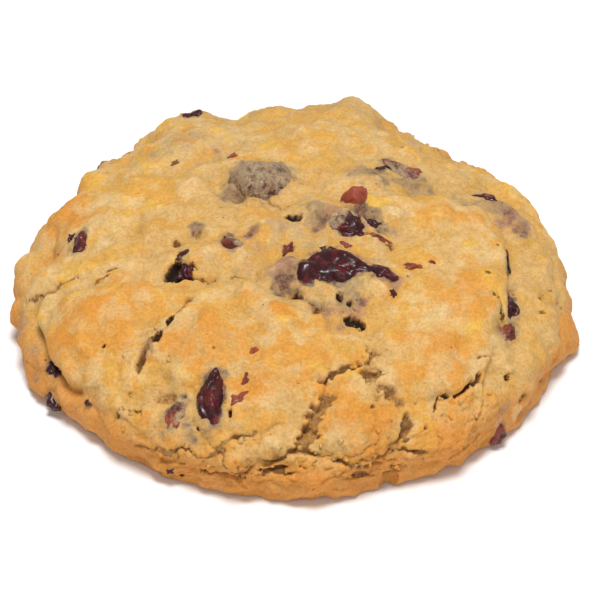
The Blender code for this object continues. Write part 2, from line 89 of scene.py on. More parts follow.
def crust_profile():
    """Distance walked, radius and height along the crust, from the crown to the foot."""
    dome_turn = np.linspace(0.0, math.pi / 2, DOME_STEPS)
    foot_turn = np.linspace(0.0, math.pi / 2, FOOT_STEPS)[1:]
    dome_radius = RIM_RADIUS * np.sin(dome_turn) ** (2 / DOME_POWER)
    dome_height = BELLY_HEIGHT + (CROWN_HEIGHT - BELLY_HEIGHT) * np.cos(dome_turn) ** (2 / DOME_POWER)
    dome_height[-1] = BELLY_HEIGHT
    radius = np.concatenate([dome_radius, RIM_RADIUS - FOOT_TUCK * (1 - np.cos(foot_turn))])
    height = np.concatenate([dome_height, BELLY_HEIGHT * (1 - np.sin(foot_turn))])
    steps = np.hypot(np.diff(radius), np.diff(height))
    return np.concatenate([[0.0], np.cumsum(steps)]), radius, height


WALKED, PROFILE_RADIUS, PROFILE_HEIGHT = crust_profile()
CRUST_LENGTH = WALKED[-1]


def rim_share(angle):
    """The rim's radius in a direction, as a share of RIM_RADIUS, on a curve through RIM_RADII_MM."""
    radii = np.array(RIM_RADII_MM) * MM / RIM_RADIUS
    place = np.mod(np.degrees(angle), 360.0) * len(radii) / 360.0
    first = np.floor(place).astype(int)
    t = place - first
    a, b, c, d = (radii[(first + k) % len(radii)] for k in (-1, 0, 1, 2))
    return 0.5 * (2 * b + (c - a) * t + (2 * a - 5 * b + 4 * c - d) * t**2 + (3 * b - a - 3 * c + d) * t**3)


# Uneven foot: waves round the cookie as (waves, height in millimetres), and a notch in front
FOOT_WAVES = ((17, 0.12), (29, 0.12), (47, 0.12), (83, 0.09))
NOTCH_ANGLE = math.radians(289.0)
NOTCH_HALF_ANGLE = math.radians(1.1)
NOTCH_DEPTH = 1.1 * MM
# How far above the foot, walked over the crust, the waves begin, and where they are at full height
WAVES_BEGIN = 6 * MM
WAVES_FULL = 2 * MM


def foot_edge(walked, angle):
    """How far the crust's lower edge stands out of the even rim."""
    edge = sum(height * MM * np.sin(waves * angle + waves) for waves, height in FOOT_WAVES)
    edge -= NOTCH_DEPTH * np.exp(-((np.mod(angle, 2 * math.pi) - NOTCH_ANGLE) / NOTCH_HALF_ANGLE) ** 2)
    return edge * smooth_step(CRUST_LENGTH - WAVES_BEGIN, CRUST_LENGTH - WAVES_FULL, walked)


def mound_points(across, back):
    """Where places on the crust map lie on the smooth mound, as an array of (x, y, z)."""
    walked = np.hypot(across, back)
    angle = np.arctan2(back, across)
    radius = np.interp(walked, WALKED, PROFILE_RADIUS) * rim_share(angle) + foot_edge(walked, angle)
    height = np.interp(walked, WALKED, PROFILE_HEIGHT)
    return np.stack([radius * np.cos(angle), radius * np.sin(angle), height], axis=-1)


def mound_normals(across, back):
    """Which way the smooth mound faces at places on the crust map."""
    reach = 0.4 * MM
    along_across = mound_points(across + reach, back) - mound_points(across - reach, back)
    along_back = mound_points(across, back + reach) - mound_points(across, back - reach)
    normal = np.cross(along_across, along_back)
    return normal / np.linalg.norm(normal, axis=-1, keepdims=True)


def oval_distance(across, back, oval):
    """Distance from an oval's middle as a share of its half sizes: 1 on its edge."""
    middle_across, middle_back, length, width, turn = oval
    x = across - middle_across * MM
    y = back - middle_back * MM
    c, s = math.cos(math.radians(turn)), math.sin(math.radians(turn))
    return np.hypot((x * c + y * s) / (length * MM / 2), (y * c - x * s) / (width * MM / 2))


def grain(points, size, shift=0.0):
    """Smooth random values between -1 and 1, whose grains are size metres across."""
    return np.array([noise.noise(place) for place in (points / size + (shift, 0.0, 0.0)).tolist()])


# Cobbles: how far their outlines wander and how far each one spreads, as shares of their size
COBBLE_WANDER = 0.5
COBBLE_SPREAD = 0.85


def cobbles(points, size, shift):
    """Height of irregular bumps size metres across, from 0 to 1."""
    bend = np.stack([grain(points, 0.8 * size, shift + axis) for axis in (3.0, 5.0, 7.0)], axis=-1)
    places = (points / size + COBBLE_WANDER * bend + (shift, 0.0, 0.0)).tolist()
    nearest = np.array([noise.voronoi(place)[0][0] for place in places])
    return 1.0 - smooth_step(0.0, COBBLE_SPREAD, nearest)


# Flakes: how flat they lie, how many overlap, and the shares of a flake that its edge and the
# gap beside it take
FLAKE_FLATNESS = 2.2
FLAKE_LAYERS = 2.2
FLAKE_EDGE = 0.16
FLAKE_GAP = 0.1


def flakes(points, size, shift):
    """Crust in overlapping flakes that are longer than high: their layers, and the gaps between."""
    stretched = points * (1.0, 1.0, FLAKE_FLATNESS)
    level = grain(stretched, size, shift) + 0.4 * grain(stretched, 0.4 * size, shift + 2.0)
    level = FLAKE_LAYERS * level + 0.25 * grain(points, 0.16 * size, shift + 4.0)
    share = level - np.floor(level)
    layer = np.floor(level) + smooth_step(0.0, FLAKE_EDGE, share)
    gap = 1.0 - smooth_step(0.0, FLAKE_GAP, np.abs(share - FLAKE_GAP / 2))
    return layer, gap


# Mounds of dough over oats and fruit: across, back, length, width, turn in degrees, height
LUMPS_MM = (
    # Browned mounds of the front and the two sides
    (-31, -19, 24, 20, 0, 1.5), (-14, -25, 20, 16, 0, 1.6), (-2.5, -21.5, 12, 9, 20, 1.6),
    (10.5, -38, 15, 13, 0, 1.3), (-3, -29, 20, 14, 0, 0.6), (23, -16, 20, 18, 0, 1.2),
    (25, -1, 22, 20, 0, 1.5), (19, -28, 20, 15, 0, 1.2), (27, -37, 18, 14, 40, 0.8),
    (-36, 9.5, 18, 12, 60, 1), (-22, -36, 14, 10, 0, 0.6), (4, -46.5, 24, 8, 0, 0.5),
    # Golden bumps round the crown
    (-7.3, -17.3, 10, 8, 0, 1.1), (-13.2, -8.3, 9, 8, 0, 1.4), (-20.5, -1.5, 10, 9, 0, 0.9),
    (-16.8, 2.2, 8, 7, 0, 1), (-15.5, 9, 10, 8, 60, 0.9), (11.8, -16.6, 10, 8, 0, 1.4),
    (14.6, -0.9, 7, 6, 0, 1.1), (-25, 10, 12, 9, 10, 0.7), (-5, -41.5, 9, 5, 10, 0.7),
    (-28.5, 3, 9, 8, 0, 0.6), (-9.6, 1, 8, 5, -10, 0.7), (5.2, -26.4, 8, 6, 0, 0.7),
    # Fruit that the dough still covers
    (-5.4, 8.2, 12, 10.5, 0, 0.7), (-17, 21, 16, 13, 0, 1.1), (3.6, 1, 9, 7, 0, 1),
    (12.6, 11, 11, 8, -10, 1.2), (32.5, 7.8, 13, 9, -25, 1.4), (-4.6, -4, 10, 6, 10, 1),
    (-1.2, -12.5, 9, 8, 0, 0.9), (13.5, -14, 9, 5, -30, 0.8),
    # Crags and dips of the skyline at the back
    (8.8, 35.4, 12, 13, 0, 1.7), (-5, 34, 12, 10, 0, 0.7), (-22.5, 32, 14, 12, 0, 0.3),
    (2, 22, 14, 10, 0, 0.6), (-10.2, 37, 9, 24, 0, -2.6), (-27, 28.5, 16, 15, 45, -2),
    (-32, 21.5, 18, 14, 50, -2), (16.2, 35.5, 8, 14, 0, -1.3), (22.6, 30, 15, 16, -35, -1.8),
    (29, 24, 18, 14, -45, -1.6), (33.5, 15, 14, 10, 0, -1.2),
    (-36, 14.5, 12, 10, 60, -1.8),
    # Bulges of the flanks and the foot
    (48.7, -11.2, 12, 12, 0, 1.2), (-43.4, -0.5, 12, 7, 85, 1.6), (-44.6, -15.2, 16, 8, 80, 1.5),
    (-38.2, -7.2, 10, 6, 15, 1), (39, -14, 10, 8, 0, 0.6), (37, -21, 10, 8, 0, 0.6),
    (-48, -8, 10, 8, 0, 0.8), (39, -2, 12, 7, 80, 0.8),
    (36, -8.6, 6, 5, 0, 0.6), (38.8, -12.6, 6, 5, 30, 0.6), (36.2, -17.6, 6, 5, 0, 0.7),
    (35.2, -24, 7, 5, 40, 0.8), (40.5, -7, 5, 6, 0, 0.5),
    # Flakes of crust over the front lip
    (-9.4, -43.6, 7, 4.5, -5, 0.7), (6, -41.5, 9, 4, -5, 0.5),
)
# Lumps of the far side, which vary between two limits each: direction in degrees, distance walked
# from the crown, size, height, and width as a share of the length
FAR_LUMPS = 16
FAR_LUMP_SEED = 7
FAR_LUMP_DIRECTIONS = (12, 168)
FAR_LUMP_PLACES_MM = (42.0, 48.0)
FAR_LUMP_SIZES_MM = (8.0, 13.0)
FAR_LUMP_HEIGHTS_MM = (0.4, 1.0)
FAR_LUMP_WIDTH_SHARES = (0.7, 1.0)


def all_lumps():
    """The lumps of LUMPS_MM, and seeded ones for the far side."""
    draw = np.random.default_rng(FAR_LUMP_SEED)
    first, last = FAR_LUMP_DIRECTIONS
    far_lumps = []
    for index in range(FAR_LUMPS):
        angle = math.radians(first + (last - first) * (index + draw.uniform(0.2, 0.8)) / FAR_LUMPS)
        walked = draw.uniform(*FAR_LUMP_PLACES_MM)
        size = draw.uniform(*FAR_LUMP_SIZES_MM)
        height = draw.uniform(*FAR_LUMP_HEIGHTS_MM)
        width = size * draw.uniform(*FAR_LUMP_WIDTH_SHARES)
        place = (walked * math.cos(angle), walked * math.sin(angle))
        far_lumps.append((*place, size, width, draw.uniform(0, 180), height))
    return LUMPS_MM + tuple(far_lumps)


def lump_height(across, back):
    """Height of the mounds at places on the crust map."""
    total = np.zeros_like(across)
    for *oval, height in all_lumps():
        near = np.clip(1.0 - oval_distance(across, back, oval) ** 2, 0.0, 1.0)
        total += height * MM * near**2
    return total


# Oat flakes that show through the crust: across, back, length, width, turn in degrees, height
OATS_MM = (
    (15, -0.7, 3.6, 2.8, 10, 0.4), (-4.8, -3.9, 2.4, 1.3, 15, 0.4), (1.3, -0.8, 1.3, 2.6, 0, 0.5),
    (-8.8, 13.2, 3.6, 2.4, 20, 0.35), (13.8, 9.6, 3.4, 1.3, -8, 0.3), (7.6, -24.9, 4.8, 1.8, -4, 0.3),
    (-3.2, -41, 3.6, 2.2, -15, 0.35), (36.6, -30.8, 3.2, 2.8, 40, 0.4), (-7, -17, 3.2, 2.4, 0, 0.25),
    (12, -17.2, 3.4, 2.8, 0, 0.25), (-16.8, 8.8, 3.6, 2.4, 60, 0.25), (32, -25.4, 2.4, 1.6, 30, 0.5),
    (-12.6, -9, 3.4, 2.6, 30, 0.25), (4, 27.5, 4.4, 2.2, 0, 0.25), (-6.8, 22, 4, 2.6, 20, 0.3),
    (-16, -34, 2.6, 1.6, 20, 0.3), (21, -20, 3, 1.8, 50, 0.2), (-29, -3, 3.6, 2.4, 20, 0.2),
)
# Flakes under the crust: how many, how far from the crown, then the limits of their length,
# their width as a share of it, and their height
HIDDEN_OATS = 110
HIDDEN_OAT_SEED = 31
HIDDEN_OAT_REACH_MM = 49.0
HIDDEN_OAT_LENGTHS_MM = (3.0, 5.0)
HIDDEN_OAT_WIDTH_SHARES = (0.5, 0.8)
HIDDEN_OAT_HEIGHTS_MM = (0.15, 0.35)
# Where a flake's flat top ends and where its edge does, as shares of its half size
OAT_TOP = 0.45
OAT_EDGE = 1.15


def all_oats():
    """The flakes of OATS_MM, and seeded ones under the crust all over."""
    draw = np.random.default_rng(HIDDEN_OAT_SEED)
    hidden = []
    for _ in range(HIDDEN_OATS):
        walked = HIDDEN_OAT_REACH_MM * math.sqrt(draw.uniform(0.0, 1.0))
        angle = draw.uniform(0.0, 2 * math.pi)
        length = draw.uniform(*HIDDEN_OAT_LENGTHS_MM)
        width = length * draw.uniform(*HIDDEN_OAT_WIDTH_SHARES)
        turn = draw.uniform(0, 180)
        height = draw.uniform(*HIDDEN_OAT_HEIGHTS_MM)
        hidden.append((walked * math.cos(angle), walked * math.sin(angle), length, width, turn, height))
    return OATS_MM + tuple(hidden)


def oat_relief(across, back, points):
    """Height of the flakes, and how much each place is bare flake, from 0 to 1."""
    height, shown = np.zeros((2, *across.shape))
    wander = 0.35 * grain(points, 1.5 * MM, 17.0)
    for index, (*oval, rise) in enumerate(all_oats()):
        distance = oval_distance(across, back, oval) + wander
        plateau = 1.0 - smooth_step(OAT_TOP, OAT_EDGE, distance)
        height = np.maximum(height, rise * MM * plateau)
        if index < len(OATS_MM):
            shown = np.maximum(shown, plateau)
    return height, shown


# Soft folds: width, depth and step in millimetres, then the path as (across, back). The step
# lifts the crust on the left of the path, walking along it.
FOLDS_MM = (
    # Edge of the dome over the right flank
    (1.6, 0.9, 2.7, ((29.6, -22.5), (31, -16), (32.2, -9), (32.4, -3.4), (31.2, 2), (28.6, 5.8),
                     (24, 6.6), (20, 5.6))),
    # Edge of the dome over the bulges of the left flank
    (1.7, 2, 0.6, ((-36.8, 7.5), (-38.4, 3), (-38.8, -1.5), (-40.4, -5.4))),
    (1.6, 2, 0.6, ((-41.4, -9.6), (-41.2, -14), (-40.2, -18.5), (-38.4, -22.6), (-36, -27),
                     (-33, -31))),
    # Outer skirt on the right
    (1.2, 0.6, 0.6, ((40.3, -26.5), (42.8, -20), (43.3, -13), (42, -6), (40.5, 1))),
    # Under the front-left mound, under the crown and round the covered fruit
    (1.4, 0.8, 0.5, ((-27.5, -30.6), (-21.5, -32.8), (-17, -33.8))),
    (1.2, 0.8, -0.5, ((1.2, -22.8), (3.4, -24.6), (5.2, -24.4), (6.6, -23.8), (8.8, -24.4), (10.4, -26.2))),
    (1.3, 0.8, 0, ((-12.5, 10.5), (-11.4, 5.4), (-7, 3), (-2, 2.6), (2, 4.4))),
    (1.2, 0.6, 0, ((-23.6, 14.5), (-17.5, 13.4), (-10.5, 15.5), (-9, 21))),
    (1.3, 0.9, 0, ((-6.5, -10), (-4.4, -14.8), (0.2, -16.6), (6, -18.6))),
    (1.2, 0.7, 0, ((-10.6, -11.6), (-16, -14.6), (-22.5, -12.8), (-30, -12), (-37.5, -10.8))),
    (1.2, 0.8, 0, ((17, 6.8), (20, 10), (26.5, 11), (29, 14.5))),
    (1.1, 0.6, 0, ((-13, -2.6), (-18.6, -5.6), (-24.5, -6.6))),
)

# Cracks: width, depth, step and path in the same way
CRACKS_MM = (
    # Long diagonal tear on the left
    (0.8, 1.2, 0.2, ((-14.6, -17.8), (-16, -19.2), (-17.8, -20.8))),
    (0.5, 0.6, 0.3, ((-17.2, -20.4), (-18.6, -22), (-20, -24.4), (-22, -26.8), (-23.2, -29.6))),
    # Tear down the middle of the front, narrow at the top and wide below
    (0.7, 1.7, 0.2, ((8.6, -30), (7, -31), (5.8, -31.8), (4.8, -33.2))),
    (2, 2.1, 0.3, ((5, -33.2), (4.4, -35.2), (3, -37.6), (1.6, -40.4), (1, -43))),
    # Three-cornered tear beside it, whose arm runs on round the browned mound
    (1.6, 1.5, 0, ((11.4, -25.8), (11.2, -28), (10.8, -30.4))),
    (2.4, 1.7, 0, ((10.5, -28.8), (10.8, -31), (11.4, -33.6))),
    (1.5, 1.4, 0.2, ((11, -32.8), (13.2, -33.4), (14.8, -34.6), (16, -36))),
    (1.3, 1.7, 0, ((15.8, -36), (16.8, -37.6), (16.4, -39.6), (15.2, -41))),
    # Edge of the upper crust over the front lip, and the flake that hangs from it
    (0.45, 0.45, 0.55, ((-26.4, -38.6), (-22.4, -40.2), (-16.8, -41.4), (-14.2, -42.2), (-12, -42.3),
                        (-11, -41.2), (-9, -41), (-7, -40.2), (-5.2, -39.4))),
    (0.4, 0.45, 0.3, ((-11.4, -42.2), (-10.4, -43.8), (-9.2, -45.2), (-7.4, -45.1), (-6, -44.2))),
    (0.9, 0.95, 0.6, ((-5.4, -44), (-3.4, -43.8), (-1.2, -43.4), (0.8, -42.4), (2.6, -42.8), (6, -43.2),
                      (8.4, -43.6), (10.6, -44.6), (12.2, -44.6), (12.8, -42.6), (14.2, -41.2))),
    # Slit on the right of the front
    (0.4, 0.9, 0.2, ((19.4, -37.4), (20.8, -35.2), (22, -33.4), (23, -32.4))),
    (0.5, 1.6, 0.3, ((22.8, -32.4), (24.2, -31.6), (25.6, -30.6), (27.4, -28.8))),
    (0.5, 1, 0.4, ((15.4, -41.6), (17.6, -41.2), (20.2, -40.6))),
    # Cracks of the right flank
    (0.4, 0.7, 0.1, ((28, -14.6), (29.4, -15.2), (29.9, -16.4), (29.6, -17.4), (30.2, -18.8))),
    (0.5, 0.6, 0, ((32.6, -2), (32.8, -7), (32.4, -11))),
    # Cracks of the left flank
    (0.35, 0.4, 0.25, ((-42, -9.2), (-39.4, -9.8), (-37, -10.2), (-35, -9.4), (-32.6, -9))),
    # Notch in the foot
    (1.2, 1.6, 0, ((16.6, -44.6), (15.8, -46.4), (15.4, -48))),
    # Cracks of the far side
    (0.9, 0.8, 0.7, ((38, 22), (31, 30.5), (22, 37.5), (12.5, 41))),
    (0.8, 0.8, 0.6, ((-10, 42), (-19, 39.5), (-28, 34), (-35, 26.5))),
    # Hairline cracks
    (0.4, 0.6, 0, ((-15.2, -13), (-11.4, -13.2))),
    (0.4, 0.5, 0, ((-9.6, -13.4), (-5.4, -13.2))),
    (0.4, 0.5, 0.1, ((-33, -13), (-29.8, -12))),
    (0.4, 0.5, 0.1, ((-29.8, -11.5), (-26.8, -10.7))),
    (0.5, 0.8, 0.3, ((-15.4, -45), (-13.2, -45.8), (-10.2, -46.6), (-8.2, -46.2))),
    (0.4, 0.7, 0.2, ((-5.4, -46), (-3.2, -45.4), (-1.2, -45.6), (1.4, -45.4))),
    (0.5, 0.9, 0.3, ((8.6, -46), (10.4, -46.4), (12.4, -47.2))),
    (0.5, 1, 0.1, ((10.2, -5), (13.8, -5.6), (14.2, -7.4))),
    (0.5, 0.5, 0.1, ((-4.6, 4.6), (-1.8, 2.6))),
    (0.3, 0.4, 0.1, ((25.6, -26.4), (27.4, -25.8))),
    (0.4, 0.5, 0.1, ((-28, -34.6), (-25.2, -34), (-22.8, -35.4))),
)
# Size and reach of the crumbs along a torn edge, from coarse to fine
CRUMBLE = ((3.2 * MM, 0.9 * MM), (1.3 * MM, 0.65 * MM), (0.6 * MM, 0.35 * MM))
# The limits between which a crack's width and depth vary along it, as shares of those given
CRACK_WIDTH_LIMITS = (0.4, 1.6)
CRACK_DEPTH_LIMITS = (0.4, 1.3)
# A crack up to the first width closes in places, and one over the second is open all along
CLOSING_WIDTHS_MM = (0.9, 1.4)
# How much of a crack's depth is its open gap and how much the dip of the crust round it, and how
# dark the painted shade in a deep one is
GAP_SHARE = 0.75
DIP_SHARE = 0.1
CRACK_PAINTED_SHADE = 0.55


def path_distance(across, back, path):
    """Distance to a path on the crust map, and that distance signed: above zero on its left."""
    nearest = np.full(across.shape, np.inf)
    signed = np.zeros_like(across)
    for start, end in zip(path, path[1:]):
        ax, ay = start[0] * MM, start[1] * MM
        dx, dy = end[0] * MM - ax, end[1] * MM - ay
        share = np.clip(((across - ax) * dx + (back - ay) * dy) / (dx * dx + dy * dy), 0.0, 1.0)
        distance = np.hypot(across - ax - share * dx, back - ay - share * dy)
        side = np.sign(dx * (back - ay) - dy * (across - ax))
        closer = distance < nearest
        nearest = np.where(closer, distance, nearest)
        signed = np.where(closer, distance * side, signed)
    return nearest, signed


def end_fade(across, back, path, width):
    """1 along a crack and 0 beyond its ends, so that it tapers out."""
    fade = np.ones_like(across)
    for x, y in (path[0], path[-1]):
        fade *= smooth_step(0.0, width, np.hypot(across - x * MM, back - y * MM))
    return fade


def shadow_share(width, depth):
    """How much shade is painted at the bottom of a gap: narrow deep ones let little light in."""
    return float(smooth_step(0.5, 1.9, depth / width))


def step_height(step, distance, signed, rise, reach):
    """The crust is a step higher on the left of a path than on its right, close beside it."""
    return step * MM / 2 * np.tanh(signed / rise) * np.exp(-distance / reach)


def fold_relief(across, back, points):
    """Soft valleys, and the steps of the crust beside them."""
    step_rise = 0.9 * MM
    step_reach = 7.0 * MM
    bend = 1.6 * MM
    bend_size = 5 * MM
    bent_across = across + bend * grain(points, bend_size, 13.0)
    bent_back = back + bend * grain(points, bend_size, 19.0)
    total = np.zeros_like(across)
    for width, depth, step, path in FOLDS_MM:
        distance, signed = path_distance(bent_across, bent_back, path)
        fade = end_fade(across, back, path, 2.5 * width * MM)
        total -= depth * MM * fade * np.exp(-((distance / (width * MM)) ** 2))
        total += step_height(step, distance, signed, step_rise, step_reach) * fade
    return total


def crack_relief(across, back, points):
    """Height change of the cracks, how open each place is, how much shade is painted there, and how near a
    tear.
    """
    step_rise = 0.35 * MM
    step_reach = 6.0 * MM
    wall_width = 0.12 * MM
    torn_across = across + sum(reach * grain(points, size, 3.0) for size, reach in CRUMBLE)
    torn_back = back + sum(reach * grain(points, size, 9.0) for size, reach in CRUMBLE)
    uneven = grain(points, 3.4 * MM, 23.0) + 0.7 * grain(points, 1.2 * MM, 27.0)
    wide = np.clip(1.0 + uneven, *CRACK_WIDTH_LIMITS)
    shut = smooth_step(-0.6, -0.3, grain(points, 3.6 * MM, 29.0))
    deep = np.clip(0.95 + 0.9 * grain(points, 2.0 * MM, 33.0), *CRACK_DEPTH_LIMITS)
    total, opened, dark, near_tear = np.zeros((4, *across.shape))
    for width, depth, step, path in CRACKS_MM:
        distance, signed = path_distance(torn_across, torn_back, path)
        fade = end_fade(across, back, path, 1.2 * width * MM)
        closing = np.maximum(shut, float(smooth_step(*CLOSING_WIDTHS_MM, width)))
        half = wide * closing * width * MM / 2
        gap = fade * closing * (1.0 - smooth_step(0.8 * half, half + wall_width, distance))
        dip = fade * np.exp(-((distance / (0.9 * width * MM)) ** 2))
        total -= depth * MM * (GAP_SHARE * deep * gap + DIP_SHARE * dip)
        total += step_height(step, distance, signed, step_rise, step_reach) * fade
        opened = np.maximum(opened, gap)
        # Painted shade: deep, narrow cracks are painted darker, as their bottoms get little light
        dark = np.maximum(dark, CRACK_PAINTED_SHADE * smooth_step(0.3, 0.9, gap) * shadow_share(width, depth))
        near_tear = np.maximum(near_tear, dip * min(1.0, depth))
    return total, opened, dark, near_tear


# Open pores and pits: across, back, length, width, turn in degrees, depth
PITS_MM = (
    (-16.9, -11.7, 4, 3.6, 20, 2.3), (-0.1, -1.2, 2.8, 1.4, 8, 1.1), (-11.2, 2.6, 1, 2.2, 10, 1.1),
    (-27, -9.4, 2.8, 0.9, 0, 0.9), (0.2, -17, 1.8, 1.8, -20, 1.2), (3.2, -20.2, 1.3, 2.4, -15, 1.2),
    (6.4, -17.5, 1.1, 1.4, 20, 1.1), (7.9, -18.5, 0.9, 1.4, 0, 1.1), (8.6, -22, 3.4, 1.4, -25, 1.1),
    (1.4, -17.8, 0.9, 0.9, 0, 1.2), (2.5, -18.8, 0.7, 1.2, 0, 1.2), (-19, -33.6, 3.4, 1.9, -10, 0.5),
    (-17.5, -5, 1.1, 1.2, 0, 0.6), (-14.4, -3.2, 1.1, 1.6, 10, 0.5), (-9.2, -37, 0.6, 1.3, 0, 0.8),
    (16.6, -40, 1.2, 0.8, 30, 0.3), (10.4, -46, 3.4, 1.2, -10, 0.5), (36.4, -28.6, 1, 2.2, -20, 0.8),
    (-20, -24.2, 1.7, 2.3, -35, 1.3), (-22.6, -27.6, 1.4, 3, -20, 1.3),
    (-28.2, -23.8, 0.5, 0.5, 0, 0.5), (23.4, 6.2, 1, 0.9, 0, 0.9),
    (27.6, -11.6, 1.2, 1, 0, 0.5), (-19.4, 15.8, 1.6, 0.9, 30, 0.45),
    (-11, -41.9, 1.8, 1.4, 0, 0.4), (11, -36, 0.7, 0.6, 0, 0.3), (32, -26.8, 0.8, 0.9, 0, 0.5),
    (37.4, -10.6, 0.9, 1.1, 0, 0.6), (37.4, -13.4, 0.8, 0.9, 0, 0.4), (29, -15.2, 1.5, 0.6, -20, 1),
    (30, -16.8, 0.6, 1.4, 0, 1), (-22.6, -45.2, 1, 0.8, 0, 0.8), (-19.8, -46.4, 1.4, 0.9, 20, 0.8),
    (-18, -21.6, 1.6, 1.4, 40, 0.9),
)
# Where a pit's floor ends and where its rim lies, as shares of its half size
PIT_FLOOR = 0.5
PIT_RIM = 1.2
# How deep a pit is for its width where its painted shade begins, and where that shade is black
PIT_SHADE_DEPTHS = (0.2, 0.75)


def pit_relief(across, back, points):
    """Height change of the pits, how open each place is, and how much shade is painted there."""
    wander = 0.6 * grain(points, 1.5 * MM, 5.0) + 0.08 * grain(points, 0.7 * MM, 6.0)
    total, opened, dark = np.zeros((3, *across.shape))
    for *oval, depth in PITS_MM:
        distance = oval_distance(across, back, oval) + wander
        gap = 1.0 - smooth_step(PIT_FLOOR, PIT_RIM, distance)
        total -= depth * MM * gap
        opened = np.maximum(opened, gap)
        # Painted shade: pits that are deep for their width are painted dark, the deepest black
        dark = np.maximum(dark, smooth_step(0.08, 0.4, gap) * smooth_step(*PIT_SHADE_DEPTHS, depth / oval[3]))
    return total, opened, dark


# Dried cranberries: across, back, length, width, thickness, turn in degrees, and how far the
# middle of the berry lies under the crust
BERRIES_MM = {
    "cranberry_crown": (6, -12.4, 12.8, 8.2, 6.2, -8, 1.4),
    "cranberry_behind_crown": (7.8, -2.8, 7.6, 5.8, 5.2, -52, 1.3),
    "cranberry_red": (9, 2.2, 4.2, 3.8, 4.8, -65, 0.2),
    "cranberry_left_of_crown": (-9.4, -6.9, 5.4, 3.4, 4, -62, 0.9),
    "cranberry_half_covered": (-5.6, 8.9, 11, 8.8, 8, -10, 1.3),
    "cranberry_back_right": (17.4, 14.4, 9, 4.8, 4.6, -38, 1.1),
    "cranberry_skyline": (-16.6, 34.2, 4.8, 4, 4.2, 5, 1.15),
    "cranberry_left_shoulder": (-32.7, -1.4, 4.8, 3.2, 3.2, 82, 0.7),
    "cranberry_in_pit": (-16, -11, 4, 2.8, 2.8, 70, 1.9),
    "cranberry_front_left": (-11.6, -34.4, 10.2, 4.6, 5, 84, 0.9),
    "cranberry_front_low": (-17.4, -36, 6.2, 2.8, 3.2, 58, 0.7),
    "cranberry_right_fold": (32.2, -14, 6.4, 3.2, 3.8, 98, 0.9),
    "cranberry_right_low": (31.8, -19.4, 4.8, 3, 3.4, 60, 0.6),
    "cranberry_foot_right": (34.3, -35.5, 5.4, 2.8, 3.4, -58, 0.6),
    "cranberry_foot_left": (-41.6, -27, 4.6, 2.8, 3.8, 123, 0.6),
    "cranberry_left_fold": (-39.2, -22.4, 4.2, 2.2, 2.6, 110, 0.6),
    "cranberry_back": (4, 46.5, 7, 4.6, 4.6, 10, 1),
    "cranberry_back_left": (-34, 33, 6, 4.2, 4.2, -40, 1),
    "cranberry_back_right_flank": (33, 33, 7, 4.6, 4.4, 35, 1),
}
# How far the dough sinks under a berry, how high it climbs at its side, and how strong its stain is
SEAT_DEPTH = 1.0 * MM
SEAT_LIP_HEIGHT = 0.45 * MM
SEAT_STAIN = 0.75


def berry_seat(across, back, points):
    """The dough sinks under each berry and climbs raggedly up its side, stained by the fruit."""
    ragged = 0.35 * grain(points, 1.9 * MM, 21.0) + 0.25 * grain(points, 0.8 * MM, 22.0)
    total, stain = np.zeros((2, *across.shape))
    for x, y, length, width, thickness, turn, sink in BERRIES_MM.values():
        if 2 * sink > thickness:
            continue
        open_share = math.sqrt(1.0 - (2 * sink / thickness) ** 2)
        oval = (x, y, length * open_share, width * open_share, turn)
        distance = oval_distance(across, back, oval) + ragged
        total -= SEAT_DEPTH * (1.0 - smooth_step(0.5, 0.8, distance))
        total += SEAT_LIP_HEIGHT * np.exp(-(((distance - 0.95) / 0.25) ** 2))
        stain = np.maximum(stain, SEAT_STAIN * (1.0 - smooth_step(0.85, 1.45, distance)))
    return total, stain


# Where the crust is crumbly all over: across, back, length, width, turn in degrees, strength
CRUMBLY_MM = (
    (-6, -44.5, 44, 13, 0, 1), (14, -41, 28, 16, 0, 0.9), (-20.5, -25.5, 9, 15, 30, 0.7),
    (6, -21, 14, 8, 0, 0.7), (-20, -36, 22, 10, 0, 0.6), (27, -34, 16, 16, 0, 0.7),
    (6, -33, 16, 14, 0, 0.8), (-30, 40, 30, 10, 40, 0.4), (28, 40, 34, 10, -35, 0.4),
    (-44, -16, 8, 40, 0, 0.5), (44, -10, 10, 40, 0, 0.4),
)

# Where the oven browned the crust: across, back, length, width, turn in degrees, strength
BROWNED_MM = (
    (-30, -21, 22, 17, 0, 0.7), (-14, -26, 18, 13, -20, 0.75), (-1.6, -21, 9, 6, 20, 0.8),
    (10.3, -38.6, 13, 9.5, 0, 1.25), (24, -14.5, 16, 15, 0, 0.5), (27, 1, 20, 13, 0, 0.3),
    (-37, 6, 12, 20, 0, 0.75), (-3, -29, 20, 12, 0, 0.5), (-4.5, -33, 14, 11, 0, 0.65),
    (19, -27, 18, 12, 0, 0.45), (27, -37, 20, 13, 40, 0.7), (-22.5, -13.5, 16, 9, 0, 0.35),
    (-21, -37, 8, 5, 0, 0.45),
    (-20, -1, 10, 9, 0, 0.25), (-12.8, -8.5, 7, 6, 0, 0.4), (-7.2, -17.2, 6, 5, 0, 0.35),
    (-24, 30, 16, 10, 0, 0.2), (39, 12, 14, 12, 0, 0.3), (13, -17, 5, 4, 0, 0.4),
    (-7, -35.5, 10, 8, 0, 0.45), (22, -9, 12, 9, 0, 0.3), (0, -36, 76, 30, 0, 0.34),
    (0, -45, 80, 16, 0, 0.5),
)

